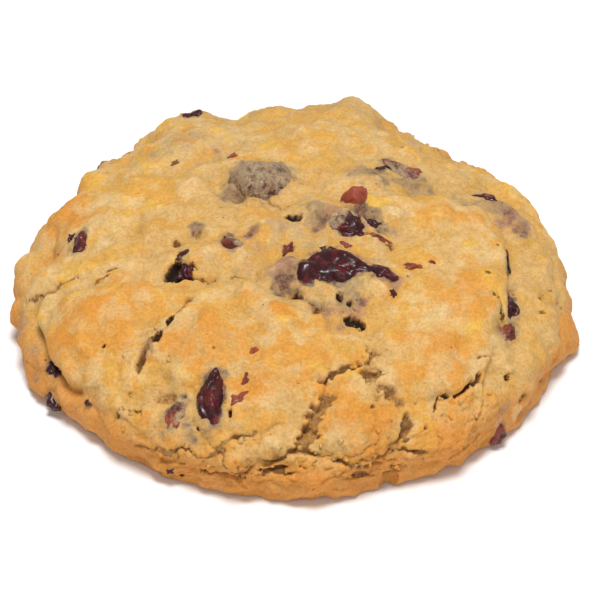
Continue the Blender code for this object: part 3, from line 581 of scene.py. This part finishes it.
# Where fruit under a thin film of dough greys it: across, back, length, width, turn, strength
FILM_MM = (
    (-4.8, 8.8, 12.5, 11, 0, 1), (-9.6, 6.6, 5.5, 4.5, 0, 1.4), (-17.5, 20.5, 15, 11, 10, 0.55),
    (4, -0.6, 7.5, 8, 0, 1), (11.2, -1, 5.5, 5.5, 0, 1.35), (14, -3.6, 8, 4, -10, 0.8),
    (12.6, 11.4, 12, 8, -10, 0.85), (20.5, 9.8, 11, 6, -35, 0.7),
    (14, 5.6, 8, 5, 0, 0.35), (31.8, 8.2, 13, 8, -25, 0.85), (36, 5.6, 5, 8, 0, 0.95),
    (-6.4, -4.8, 4.5, 3.2, 20, 1), (-2.6, -4.2, 7, 4, 0, 0.65), (-1.4, -13.8, 6.5, 9, -20, 1.1),
    (13, -14.4, 8, 4.6, -30, 1), (7.8, -18.8, 8, 6, 0, 0.85), (3, -19.4, 7, 6, -20, 0.75),
    (-14.6, -2.4, 3, 4.5, 0, 1.2), (-39.2, -3, 4, 9, 0, 0.5), (-44, -12, 4, 7, 0, 0.6),
    (-15.6, -38.6, 3, 6, 30, 0.9), (32.4, -32, 2.2, 9, -20, 0.7), (33, -9, 2, 10, 0, 0.45),
    (-41.4, -18, 3, 10, 0, 0.5), (11, -1, 5, 4, 0, 0.75), (-22.4, 19.4, 3, 3.5, 0, 0.7),
    (-12.2, 16.4, 2.5, 5, 20, 0.65), (-17.4, 26, 11, 1.6, 12, 0.5), (-43, -21.6, 3, 3, 0, 0.6),
    (-16.4, -9.2, 3, 2.5, 0, 0.7), (2, -6, 34, 30, 0, 0.42), (-14, 18, 30, 22, 0, 0.36),
    (0, 38, 80, 26, 0, 0.42), (33, 7.6, 9, 5, -25, 1.1), (5, -20.6, 8, 5, -15, 0.7),
    (0.6, -14.6, 6, 7, -20, 0.5), (-21.2, -26, 2.6, 7, -35, 0.7), (8.6, -20.4, 5, 3, -20, 0.8),
)
# Where the full strength of such an oval ends and where its edge does, as shares of its half size
OVAL_CORE = 0.3
OVAL_EDGE = 1.25


def painted_ovals(across, back, points, ovals, size, share):
    """The strongest of several soft ovals at each place. Their edges wander on grains of a size."""
    wander = share * (grain(points, size, 70.0) + 0.6 * grain(points, 0.4 * size, 71.0))
    total = np.zeros_like(across)
    for *oval, strength in ovals:
        distance = oval_distance(across, back, oval) + wander
        total = np.maximum(total, strength * (1.0 - smooth_step(OVAL_CORE, OVAL_EDGE, distance)))
    return total


# Size and height of each kind of unevenness, from coarse to fine: cobbles, swells, the fine grain
# of the whole crust, and the crumb inside a tear
COARSE_COBBLES = (5.5 * MM, 0.9 * MM)
FINE_COBBLES = (2.3 * MM, 0.25 * MM)
COBBLE_LEVEL = 0.4
SWELLS = ((11.0 * MM, 0.8 * MM), (4.8 * MM, 0.55 * MM), (2.2 * MM, 0.22 * MM))
FINE_GRAINS = ((1.1 * MM, 0.10 * MM), (0.6 * MM, 0.06 * MM))
CRUMB_GRAINS = ((1.3 * MM, 0.6 * MM), (0.65 * MM, 0.4 * MM))
FLAKE_SIZE = 5.5 * MM
FLAKE_HEIGHT = 0.34 * MM
FLAKE_GAP_DEPTH = 0.28 * MM
# Painted shade in the gaps between flakes
FLAKE_GAP_PAINTED_SHADE = 0.2
# Unevenness below the first height is a hollow, and over the second a crest
CREST_HEIGHTS = (-0.7 * MM, 0.9 * MM)
# The relief fades over this length above the foot, and the foot's brown begins and is full at
# these distances from the crown, with an edge that wanders
FOOT_FADE = 2.2 * MM
FOOT_BROWN_PLACES = (41.5 * MM, 47.5 * MM)
FOOT_BROWN_WANDER = 2.4 * MM


def soft_relief(across, back, points):
    """Height of the folds, swells and bumps of the crust, then that of its mounds."""
    coarse_size, coarse_height = COARSE_COBBLES
    fine_size, fine_height = FINE_COBBLES
    undulation = coarse_height * (cobbles(points, coarse_size, 50.0) - COBBLE_LEVEL)
    undulation += fine_height * cobbles(points, fine_size, 60.0)
    undulation += fold_relief(across, back, points)
    for size, height in SWELLS:
        undulation += height * grain(points, size)
    return undulation, lump_height(across, back)


def crust_surface(across, back):
    """The crust's points, and the weights that paint it, painted shade among them."""
    points = mound_points(across, back)
    walked = np.hypot(across, back)
    foot_fade = 1.0 - smooth_step(CRUST_LENGTH - FOOT_FADE, CRUST_LENGTH, walked)
    oat_height, oat = oat_relief(across, back, points)
    crack_height, crack_open, crack_painted_shade, near_tear = crack_relief(across, back, points)
    pit_height, pit_open, pit_painted_shade = pit_relief(across, back, points)
    seat_height, stain = berry_seat(across, back, points)
    opened = np.maximum(crack_open, pit_open)
    crumbly = np.maximum(painted_ovals(across, back, points, CRUMBLY_MM, 5 * MM, 0.5), near_tear)
    flake_layer, flake_gap = flakes(points, FLAKE_SIZE, 90.0)
    undulation, mounds = soft_relief(across, back, points)
    crest = smooth_step(*CREST_HEIGHTS, undulation)
    relief = undulation + mounds + oat_height + crack_height + pit_height
    relief += crumbly * (FLAKE_HEIGHT * flake_layer - FLAKE_GAP_DEPTH * flake_gap)
    for size, height in FINE_GRAINS:
        relief += height * (1.0 + crumbly) * grain(points, size, 40.0)
    for size, height in CRUMB_GRAINS:
        relief += height * np.maximum(crack_open, 0.3 * near_tear) * grain(points, size, 65.0)
    relief = (relief + seat_height) * foot_fade
    surface = points + mound_normals(across, back) * relief[:, None]
    surface[:, 2] = np.maximum(surface[:, 2], 0.0)
    foot = smooth_step(*FOOT_BROWN_PLACES, walked + FOOT_BROWN_WANDER * grain(points, 6 * MM, 80.0))
    return surface, {
        "oat": oat, "opened": opened, "berry_stain": stain, "foot": foot, "crumbly": crumbly,
        # Painted shade: cracks, pits and the gaps between flakes are painted darker where light hardly
        # reaches
        "dark": np.maximum(np.maximum(crack_painted_shade, pit_painted_shade), FLAKE_GAP_PAINTED_SHADE * crumbly * flake_gap),
        "crest": crest,
        "browned": painted_ovals(across, back, points, BROWNED_MM, 5 * MM, 0.45),
        "film": painted_ovals(across, back, points, FILM_MM, 2.2 * MM, 0.5),
    }


def disc_from_square(x, y):
    """An even spread of a square grid over a disc, both of half size 1."""
    wide = abs(x) >= abs(y)
    radius = x if wide else y
    if radius == 0.0:
        return 0.0, 0.0
    turn = math.pi / 4 * (y / x) if wide else math.pi / 2 - math.pi / 4 * (x / y)
    return radius * math.cos(turn), radius * math.sin(turn)


def mesh_object(name, bm):
    """A smooth object of that name, made of what bm holds."""
    mesh = bpy.data.meshes.new(name)
    bm.to_mesh(mesh)
    bm.free()
    mesh.shade_smooth()
    made = bpy.data.objects.new(name, mesh)
    bpy.context.scene.collection.objects.link(made)
    return made


# Steps of the grid that becomes the crust, how far it is drawn together toward the front, where
# the detail is, and how far in the ring lies that the flat base starts from
CRUST_STEPS = 308
FRONT_SHARE = 0.27
BASE_RING_SHARE = 0.9

bm = bmesh.new()
bmesh.ops.create_grid(bm, x_segments=CRUST_STEPS, y_segments=CRUST_STEPS, size=1.0)
for vert in bm.verts:
    vert.co.y -= FRONT_SHARE * (1.0 - vert.co.y**2)
places = np.array([disc_from_square(v.co.x, v.co.y) for v in bm.verts]) * CRUST_LENGTH
surface, weights = crust_surface(places[:, 0], places[:, 1])
layers = {name: bm.verts.layers.float.new(name) for name in weights}
for index, vert in enumerate(bm.verts):
    vert.co = surface[index]
    for name, layer in layers.items():
        vert[layer] = weights[name][index]
ring = [edge for edge in bm.edges if edge.is_boundary]
for vert in {v for edge in ring for v in edge.verts}:
    vert.co.z = 0.0
grown = bmesh.ops.extrude_edge_only(bm, edges=ring)["geom"]
inner = [g for g in grown if isinstance(g, bmesh.types.BMVert)]
bmesh.ops.scale(bm, vec=(BASE_RING_SHARE, BASE_RING_SHARE, 1.0), verts=inner)
bmesh.ops.holes_fill(bm, edges=[g for g in grown if isinstance(g, bmesh.types.BMEdge)])
bmesh.ops.recalc_face_normals(bm, faces=bm.faces)
crust = mesh_object("crust", bm)

# Baked dough is pale and matt where it rose last, golden over most of the dome and brown on
# its mounds and along the foot. Torn dough is a moist, darker crumb. Hollows, cracks and pits are
# also painted darker, as shade.
PALE = (0.64, 0.42, 0.175, 1.0)
GOLDEN = (0.63, 0.35, 0.078, 1.0)
YELLOW = (0.70, 0.43, 0.085, 1.0)
DULL_AND_SHADED = (0.54, 0.315, 0.095, 1.0)
BROWN = (0.62, 0.265, 0.042, 1.0)
FOOT_BROWN = (0.6, 0.24, 0.046, 1.0)
TORN = (0.42, 0.225, 0.075, 1.0)
TORN_DARK = (0.25, 0.12, 0.035, 1.0)
SHADE_BROWN = (0.20, 0.085, 0.020, 1.0)
SHADE_BLACK = (0.020, 0.009, 0.004, 1.0)
FILM_GREY = (0.34, 0.24, 0.125, 1.0)
FILM_MAUVE = (0.38, 0.205, 0.125, 1.0)
FILM_PURPLE = (0.1, 0.038, 0.032, 1.0)
OAT_PALE = (0.70, 0.50, 0.25, 1.0)
DARK_GRAIN = (0.90, 0.84, 0.70, 1.0)
LIGHT_GRAIN = (1.11, 1.15, 1.25, 1.0)
SPECK = (0.20, 0.07, 0.03, 1.0)


class Nodes:
    """Short ways to add and join the nodes of one material."""

    def __init__(self, name):
        self.material = bpy.data.materials.new(name)
        self.material.use_nodes = True
        self.tree = self.material.node_tree
        self.shader = self.tree.nodes["Principled BSDF"]
        self.place = self.tree.nodes.new("ShaderNodeTexCoord").outputs["Object"]

    def plug(self, source, socket):
        if isinstance(source, bpy.types.NodeSocket):
            self.tree.links.new(source, socket)
        else:
            socket.default_value = source

    def node(self, kind, inputs):
        """A new node of that kind, its inputs plugged."""
        node = self.tree.nodes.new("ShaderNode" + kind)
        for socket, source in inputs.items():
            self.plug(source, node.inputs[socket])
        return node

    def surface(self, inputs):
        """Plugs inputs of the shader itself."""
        for socket, source in inputs.items():
            self.plug(source, self.shader.inputs[socket])

    def attribute(self, name):
        node = self.tree.nodes.new("ShaderNodeAttribute")
        node.attribute_name = name
        return node.outputs["Fac"]

    def moved(self, shift):
        inputs = {"Vector": self.place, "Location": (shift, 2 * shift, 0.0)}
        return self.node("Mapping", inputs).outputs["Vector"]

    def noise(self, size, detail=2.0, roughness=0.5, shift=0.0):
        inputs = {"Scale": 1.0 / size, "Detail": detail, "Roughness": roughness}
        return self.node("TexNoise", {"Vector": self.moved(shift), **inputs}).outputs["Fac"]

    def cells(self, size, shift=0.0):
        """Distance to the nearest of many scattered points, and a random value for that point."""
        node = self.node("TexVoronoi", {"Vector": self.moved(shift), "Scale": 1.0 / size})
        parts = self.node("SeparateColor", {"Color": node.outputs["Color"]})
        return node.outputs["Distance"], parts.outputs["Red"]

    def ramp(self, value, low, high, from_=0.0, to=1.0):
        inputs = {"Value": value, "From Min": low, "From Max": high, "To Min": from_, "To Max": to}
        node = self.node("MapRange", inputs)
        node.interpolation_type = "SMOOTHSTEP"
        return node.outputs["Result"]

    def math(self, operation, a, b=0.0):
        node = self.node("Math", {0: a, 1: b})
        node.operation = operation
        return node.outputs["Value"]

    def varied(self, value, texture, reach):
        """The value, raised or lowered by up to reach as the texture has it."""
        return self.math("ADD", value, self.ramp(texture, 0.3, 0.7, -reach, reach))

    def mix(self, share, a, b, blend="MIX"):
        node = self.tree.nodes.new("ShaderNodeMix")
        node.data_type = "RGBA"
        node.blend_type = blend
        self.plug(share, node.inputs["Factor"])
        self.plug(a, node.inputs[6])
        self.plug(b, node.inputs[7])
        return node.outputs[2]

    def cover(self, share, tint, blend="MIX"):
        """Lays a tint over the colour so far."""
        self.colour = self.mix(share, self.colour, tint, blend)

    def specks(self, size, largest, share, shift):
        """Dots of all sizes up to largest, in a share of the cells: 1 in a dot and 0 outside."""
        distance, chance = self.cells(size, shift)
        radius = self.ramp(chance, 1.0 - share, 1.0, 0.0, largest / size)
        return self.ramp(self.math("SUBTRACT", distance, radius), -0.03, 0.02, 1.0, 0.0)

    def bump(self, height, distance, strength=1.0, normal=None):
        node = self.node("Bump", {"Distance": distance, "Strength": strength, "Height": height})
        if normal:
            self.plug(normal, node.inputs["Normal"])
        return node.outputs["Normal"]


dough = Nodes("baked_dough")
broad = dough.noise(9.0 * MM, 3.0, 0.55)
patchy = dough.noise(3.2 * MM, 3.0, 0.6, 0.05)
mottle = dough.noise(1.5 * MM, 4.0, 0.62, 0.11)
fine = dough.noise(0.42 * MM, 3.0, 0.68, 0.23)
cream_share = dough.varied(broad, patchy, 0.25)
dough.colour = dough.mix(dough.ramp(cream_share, 0.34, 0.66), PALE, GOLDEN)
crest = dough.varied(dough.attribute("crest"), patchy, 0.2)
# Hollows are painted duller and darker: partly less browned dough, partly painted shade
dough.cover(dough.ramp(crest, 0.05, 0.6, 0.55, 0.0), DULL_AND_SHADED)
lemon = dough.noise(5.5 * MM, 2.0, 0.5, 0.17)
lemon_share = dough.math("MULTIPLY", dough.ramp(lemon, 0.52, 0.64), dough.ramp(crest, 0.4, 0.9))
dough.cover(lemon_share, YELLOW)
brown_share = dough.varied(dough.attribute("browned"), patchy, 0.22)
brown_share = dough.math("ADD", brown_share, dough.ramp(crest, 0.2, 1.0, -0.15, 0.2))
brown_share = dough.varied(brown_share, mottle, 0.14)
dough.cover(dough.ramp(brown_share, 0.0, 1.1), BROWN)
foot_share = dough.math("MULTIPLY", dough.attribute("foot"), dough.ramp(mottle, 0.2, 0.7, 0.55, 1.0))
dough.cover(foot_share, FOOT_BROWN)
dough.cover(dough.math("MULTIPLY", dough.attribute("oat"), 0.55), OAT_PALE)
film_share = dough.math("MAXIMUM", dough.attribute("film"), dough.attribute("berry_stain"))
film_share = dough.varied(film_share, mottle, 0.25)
film_colour = dough.mix(dough.ramp(broad, 0.47, 0.62), FILM_GREY, FILM_MAUVE)
dough.cover(dough.ramp(film_share, 0.2, 0.95, 0.0, 0.9), film_colour)
dark_film = dough.math("MULTIPLY", dough.ramp(film_share, 0.6, 1.1), dough.ramp(patchy, 0.36, 0.58))
dark_film = dough.math("MULTIPLY", dark_film, dough.ramp(fine, 0.35, 0.6, 0.3, 0.95))
dough.cover(dark_film, FILM_PURPLE)
opened_share = dough.varied(dough.attribute("opened"), fine, 0.2)
torn_colour = dough.mix(dough.ramp(fine, 0.38, 0.6), TORN_DARK, TORN)
dough.cover(dough.ramp(opened_share, 0.22, 0.6, 0.0, 0.9), torn_colour)
# Painted shade: cracks and flake gaps are painted brown, and deep pits black, where light hardly reaches
painted_shade_share = dough.varied(dough.attribute("dark"), fine, 0.15)
dough.cover(dough.ramp(painted_shade_share, 0.17, 0.5), SHADE_BROWN)
dough.cover(dough.ramp(painted_shade_share, 0.55, 0.8), SHADE_BLACK)
grain_share = dough.ramp(fine, 0.3, 0.7, -0.5, 0.5)
grain_share = dough.math("ADD", grain_share, dough.ramp(mottle, 0.25, 0.75, 0.1, 0.9))
grain_tint = dough.mix(dough.ramp(grain_share, -0.2, 1.2), DARK_GRAIN, LIGHT_GRAIN)
dough.cover(1.0, grain_tint, "MULTIPLY")
large_dots = dough.specks(3.4 * MM, 0.28 * MM, 0.5, 0.3)
dots = dough.math("MAXIMUM", large_dots, dough.specks(1.8 * MM, 0.15 * MM, 0.4, 0.5))
dough.cover(dough.math("MULTIPLY", dots, 0.85), SPECK)
rough = dough.bump(mottle, 0.25 * MM, 0.8)
dough.surface({
    "Base Color": dough.colour, "Roughness": dough.ramp(mottle, 0.3, 0.7, 0.6, 0.85),
    "Specular IOR Level": 0.25, "Normal": dough.bump(fine, 0.13 * MM, 0.9, rough),
    "Subsurface Weight": 0.25, "Subsurface Radius": (1.0, 0.45, 0.16), "Subsurface Scale": 1.0 * MM,
})
crust.data.materials.append(dough.material)
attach(crust, "root")
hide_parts("dough")

# Crumbs: where the crust tore or its edge broke, grains of the same dough stand out of it,
# half sunk, each a small uneven ball.
CRUMB_TRIES = 16000
CRUMB_SEED = 11
SMALLEST_CRUMB = 0.14 * MM
LARGEST_CRUMB = 0.42 * MM
CRUMB_REACH_SHARE = 0.965
CRUMB_STRETCH = (0.75, 1.25)
CRUMB_UNEVENNESS = 0.8
CHANCE_AT_TORN_EDGE = 0.8
CHANCE_ON_CRUMBLY_CRUST = 0.05
# How much of the crust's openness and painted shade a crumb that stands out of it takes on
CRUMB_SHADE = 0.6

draw = np.random.default_rng(CRUMB_SEED)
crumb_walked = CRUMB_REACH_SHARE * CRUST_LENGTH * np.sqrt(draw.uniform(0.0, 1.0, CRUMB_TRIES))
crumb_angle = draw.uniform(0.0, 2 * math.pi, CRUMB_TRIES)
crumb_across = crumb_walked * np.cos(crumb_angle)
crumb_back = crumb_walked * np.sin(crumb_angle)
crumb_places, crumb_weights = crust_surface(crumb_across, crumb_back)
edge_share = 4.0 * crumb_weights["opened"] * (1.0 - crumb_weights["opened"])
chance = CHANCE_AT_TORN_EDGE * edge_share + CHANCE_ON_CRUMBLY_CRUST * crumb_weights["crumbly"]
kept = np.nonzero(draw.uniform(0.0, 1.0, CRUMB_TRIES) < chance)[0]
bm = bmesh.new()
layers = {name: bm.verts.layers.float.new(name) for name in crumb_weights}
for index in kept:
    radius = SMALLEST_CRUMB + (LARGEST_CRUMB - SMALLEST_CRUMB) * draw.uniform(0.0, 1.0) ** 2
    stretch = draw.uniform(*CRUMB_STRETCH, 3)
    made = bmesh.ops.create_icosphere(bm, subdivisions=2, radius=1.0)["verts"]
    for vert in made:
        swelling = 1.0 + CRUMB_UNEVENNESS * noise.noise(vert.co * 1.3 + Vector((index, 0.0, 0.0)))
        ball = Vector(vert.co[axis] * stretch[axis] for axis in range(3))
        vert.co = Vector(crumb_places[index]) + ball * radius * swelling
        vert.co.z = max(vert.co.z, 0.0)
        for name, layer in layers.items():
            vert[layer] = crumb_weights[name][index] * (CRUMB_SHADE if name in ("opened", "dark") else 1.0)
crumbs = mesh_object("crumbs", bm)
crumbs.data.materials.append(dough.material)
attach(crumbs, "root")

# Dried cranberries: dark, leathery skin in deep folds, moist from the oven, each set in the
# dough and filmed by it at the edge. Some are nearly covered, and some are only small bits.
BERRY_DARK = (0.034, 0.006, 0.008, 1.0)
BERRY_WINE = (0.105, 0.009, 0.012, 1.0)
BERRY_RED = (0.31, 0.062, 0.032, 1.0)
BERRY_FILM = (0.41, 0.29, 0.165, 1.0)
BERRY_CRUST = (0.56, 0.34, 0.12, 1.0)
# Berries over this length are made finer
BIG_BERRY_MM = 6.0
# Slack skin lies on a body that fills this share of the berry's half size. Its folds, fine folds
# and dents are shares of the half size too.
SKIN_LEVEL = 0.88
FOLD_HEIGHT = 0.27
FINE_FOLD_HEIGHT = 0.05
DENT_HEIGHT = 0.20
# How much one end may be thinner, how much a berry may bend, and how jagged a narrow one is:
# fully so up to the first width, and not at all over the second
TAPER = 0.3
BEND = 0.3
JAGGEDNESS = 0.55
NARROW_BIT_MM = (2.0, 4.0)
# How much a berry narrows under the crust, so that it doesn't show beside its seat
TUCK = 0.45
# How much of a berry its dough film covers, the direction on the crust map of the side that it
# covers most, how much more it covers there, and how red the berry is
BERRY_LOOKS = {
    "cranberry_half_covered": (0.78, 110, 0.18, 0), "cranberry_behind_crown": (0.4, 140, 0.75, 0),
    "cranberry_left_of_crown": (0.4, 40, 0.8, 0.5), "cranberry_back_right": (0.4, 250, 0.6, 0.6),
    "cranberry_front_low": (0.45, 0, 0.3, 0.6), "cranberry_left_fold": (0.3, 0, 0, 0),
    "cranberry_right_low": (0.3, 200, 0.5, 0.5), "cranberry_red": (0.1, 0, 0, 1),
    "cranberry_crown": (0, 60, 0.25, 0), "cranberry_skyline": (0.1, 270, 0.3, 0),
    "cranberry_foot_right": (0.1, 70, 0.5, 0.55), "cranberry_front_left": (0, 170, 0.35, 0.2),
    "cranberry_left_shoulder": (0, 0, 0, 0.45),
}
BARE_AND_DARK = (0, 0, 0, 0)


def laid_on_crust(berry, shape):
    """Where the points of a berry end up: it lies along the crust, turned on it and partly sunk."""
    x, y, *_, turn, sink = berry
    c, s = math.cos(math.radians(turn)), math.sin(math.radians(turn))
    across = x * MM + shape[:, 0] * c - shape[:, 1] * s
    back = y * MM + shape[:, 0] * s + shape[:, 1] * c
    under = mound_points(across, back)
    undulation, mounds = soft_relief(across, back, under)
    under += mound_normals(across, back) * (undulation + mounds)[:, None]
    upward = mound_normals(np.array([x * MM]), np.array([y * MM]))[0]
    placed = under + upward * (shape[:, 2] - sink * MM)[:, None]
    placed[:, 2] = np.maximum(placed[:, 2], 0.0)
    return placed


def drift(point):
    """A smooth wandering direction, the same in every run."""
    return Vector(noise.noise(point + Vector((away, 0.0, away))) for away in (0.0, 31.4, 57.8))


def wrinkled_berry(bm, berry, seed, fineness, filmed, filmed_side, filmed_slope, redness):
    """Adds a flattened ball in its place, its skin in folds that mostly run along it."""
    film = bm.verts.layers.float.get("film") or bm.verts.layers.float.new("film")
    red = bm.verts.layers.float.get("red") or bm.verts.layers.float.new("red")
    half = Vector(berry[2:5]) * MM / 2
    dough_line = berry[6] * MM if berry[6] * MM < half.z else -2 * half.z
    shift = Vector((seed * 1.7, seed * 0.9, seed * 2.3))
    side_angle = math.radians(filmed_side - berry[5])
    side = Vector((math.cos(side_angle), math.sin(side_angle), 0.0))
    taper = -TAPER * math.cos(0.7 * seed)
    bend = -BEND * math.sin(1.9 * seed)
    jagged = JAGGEDNESS * (1.0 - smooth_step(*NARROW_BIT_MM, berry[3]))
    made = bmesh.ops.create_icosphere(bm, subdivisions=fineness, radius=1.0)["verts"]
    shape = []
    for vert in made:
        ball = vert.co.copy()
        bent = ball + 0.5 * drift(ball * 0.8 + shift)
        along = Vector((bent.x * 1.2, bent.y * 1.6, bent.z * 1.6)) + shift
        fold = abs(noise.noise(along))
        small_fold = abs(noise.noise(along * 2.6 + Vector((5.0, 0.0, 0.0))))
        dent = noise.noise(ball * 1.1 - shift)
        slack = 1.0 - 0.85 * smooth_step(0.5, 0.9, filmed)
        slack *= 1.0 - 0.75 * smooth_step(0.55, 0.95, abs(ball.x))
        wrinkles = FOLD_HEIGHT * fold**0.8 + FINE_FOLD_HEIGHT * small_fold + DENT_HEIGHT * dent
        swelling = SKIN_LEVEL + slack * wrinkles + (1.0 - SKIN_LEVEL) * (1.0 - slack)
        swelling += jagged * noise.noise(ball * 2.2 + shift)
        local = Vector(ball[axis] * swelling * half[axis] for axis in range(3))
        local.y = local.y * (1.0 + taper * ball.x) + bend * half.y * (0.5 - ball.x**2)
        tuck = 1.0 - TUCK * float(smooth_step(0.1 * MM, 1.3 * MM, dough_line - local.z))
        local = Vector((local.x * tuck, local.y * tuck, local.z))
        ragged = 0.4 * noise.noise(local / (1.5 * MM) + shift) + 0.15 * noise.noise(local / (0.6 * MM))
        shown = (local.z - dough_line) / (half.z - dough_line)
        over = filmed + filmed_slope * ball.dot(side) + 0.9 * ragged
        vert[film] = min(1.3, max(0.0, 0.95 - 2.6 * shown + ragged, over))
        vert[red] = redness + 0.5 * noise.noise(local / (2.0 * MM) - shift)
        shape.append(local)
    for vert, place in zip(made, laid_on_crust(berry, np.array(shape))):
        vert.co = place


skin = Nodes("dried_cranberry")
hue = skin.noise(1.6 * MM, 3.0, 0.55)
blotch = skin.noise(0.5 * MM, 4.0, 0.6, 0.31)
skin.colour = skin.mix(skin.ramp(hue, 0.45, 0.7), BERRY_DARK, BERRY_WINE)
skin.cover(skin.ramp(skin.attribute("red"), 0.15, 1.1), BERRY_RED)
film_share = skin.varied(skin.attribute("film"), blotch, 0.15)
skin.cover(skin.ramp(film_share, 0.35, 0.85, 0.0, 0.9), BERRY_FILM)
film_dots = skin.ramp(skin.noise(0.45 * MM, 3.0, 0.7, 0.4), 0.5, 0.62)
film_dots = skin.math("MULTIPLY", film_dots, skin.ramp(film_share, 0.5, 0.9, 0.0, 0.45))
skin.cover(film_dots, BERRY_DARK)
skin.cover(skin.ramp(film_share, 0.95, 1.2), BERRY_CRUST)
gloss = skin.math("ADD", skin.ramp(blotch, 0.3, 0.7, 0.2, 0.34), skin.math("MULTIPLY", film_share, 0.5))
gloss = skin.math("ADD", gloss, skin.ramp(skin.attribute("red"), 0.4, 1.2, 0.0, 0.25))
skin.surface({
    "Base Color": skin.colour, "Roughness": gloss, "Specular IOR Level": 0.3,
    "Coat Weight": 0.05, "Coat Roughness": 0.12, "Normal": skin.bump(blotch, 0.07 * MM, 0.4),
    "Subsurface Weight": 0.1, "Subsurface Radius": (1.0, 0.15, 0.1), "Subsurface Scale": 0.6 * MM,
})

for seed, (name, berry) in enumerate(BERRIES_MM.items()):
    fineness = 6 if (berry[2] > BIG_BERRY_MM) else 5
    bm = bmesh.new()
    wrinkled_berry(bm, berry, seed, fineness, *BERRY_LOOKS.get(name, BARE_AND_DARK))
    fruit = mesh_object(name + "_skin", bm)
    fruit.data.materials.append(skin.material)
    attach(fruit, "root")
    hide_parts(name)

# Shreds of cranberry skin, a few millimetres long, that broke off in mixing and lie in the
# crust: across, back, length, width, turn in degrees, then redness
SHREDS_MM = (
    (17, -11, 2.8, 1.3, 14, 0.9), (-5.8, -27.6, 1.7, 1, 50, 1), (-6.9, -31.8, 2.6, 1.2, 60, 0.7),
    (-8, -35, 3.2, 1.6, 35, 0.9), (-1.1, -8.4, 3.4, 1.5, 68, 0.6), (7.4, -7, 1.8, 1, -30, 0.8),
    (-13, -38, 2.4, 2, 20, 0.4), (32.2, -4.8, 4, 1.4, 92, 0), (-9.6, 15, 1.8, 1.1, 0, 1),
    (12, -5.4, 4.6, 1, -8, 0.8), (-16.4, -9, 2.2, 1.4, 40, 0.1), (-34.2, 0.4, 1.4, 1.8, 0, 0.2),
    (11.4, -2.4, 2.6, 1.6, -30, 0), (15, 13.8, 3, 1.4, 0, 0.1), (14, -17.6, 1, 1, 0, 0),
    (-20.5, -44.4, 1.2, 1, 0, 0), (-33.2, -31, 1.6, 1, -40, 0.1),
    (20, -9.6, 1, 0.7, 0, 0.9), (12.4, -13.8, 5, 2.6, -32, 0.1), (30.8, 10.6, 3.8, 1.3, -20, 0.3),
)
SHRED_SUNK = 0.12
SHRED_FINENESS = 4
SHRED_FILMED = (0.15, 90, 0.35)
bm = bmesh.new()
for seed, shred in enumerate(SHREDS_MM):
    x, y, length, width, turn, redness = shred
    berry = (x, y, length, width, width, turn, SHRED_SUNK * width)
    wrinkled_berry(bm, berry, len(BERRIES_MM) + seed, SHRED_FINENESS, *SHRED_FILMED, redness)
shreds = mesh_object("cranberry_shreds", bm)
shreds.data.materials.append(skin.material)
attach(shreds, "root")

# The table and the light: a plain white top, a soft box overhead and a little to the front of
# the cookie, a weaker one low in front and to the right, and a bright room.
TABLE_SIZE = 4000 * MM
TABLE_GAP = 0.05 * MM
WHITE = (0.95, 0.95, 0.95, 1.0)
# Soft boxes, which face the cookie: place, size and watts
SOFT_BOXES = {
    "overhead": ((0, -130 * MM, 950 * MM), 360 * MM, 8.6),
    "front": ((300 * MM, -850 * MM, 350 * MM), 500 * MM, 1.3),
}
ROOM_BRIGHTNESS = 0.33

bm = bmesh.new()
bmesh.ops.create_grid(bm, x_segments=1, y_segments=1, size=TABLE_SIZE / 2)
table = mesh_object("table", bm)
table.location.z = -TABLE_GAP
top = Nodes("white_table")
top.surface({"Base Color": WHITE, "Roughness": 0.9})
table.data.materials.append(top.material)
for name, (place, size, watts) in SOFT_BOXES.items():
    light = bpy.data.lights.new(name, "AREA")
    light.shape = "DISK"
    light.size = size
    light.energy = watts
    box = bpy.data.objects.new(name, light)
    box.location = place
    box.rotation_euler = Vector(place).to_track_quat("Z", "Y").to_euler()
    bpy.context.scene.collection.objects.link(box)
world = bpy.data.worlds.new("room")
world.use_nodes = True
background = world.node_tree.nodes["Background"]
background.inputs["Color"].default_value = (1.0, 1.0, 1.0, 1.0)
background.inputs["Strength"].default_value = ROOM_BRIGHTNESS
bpy.context.scene.world = world
bpy.context.scene.view_settings.view_transform = "Standard"
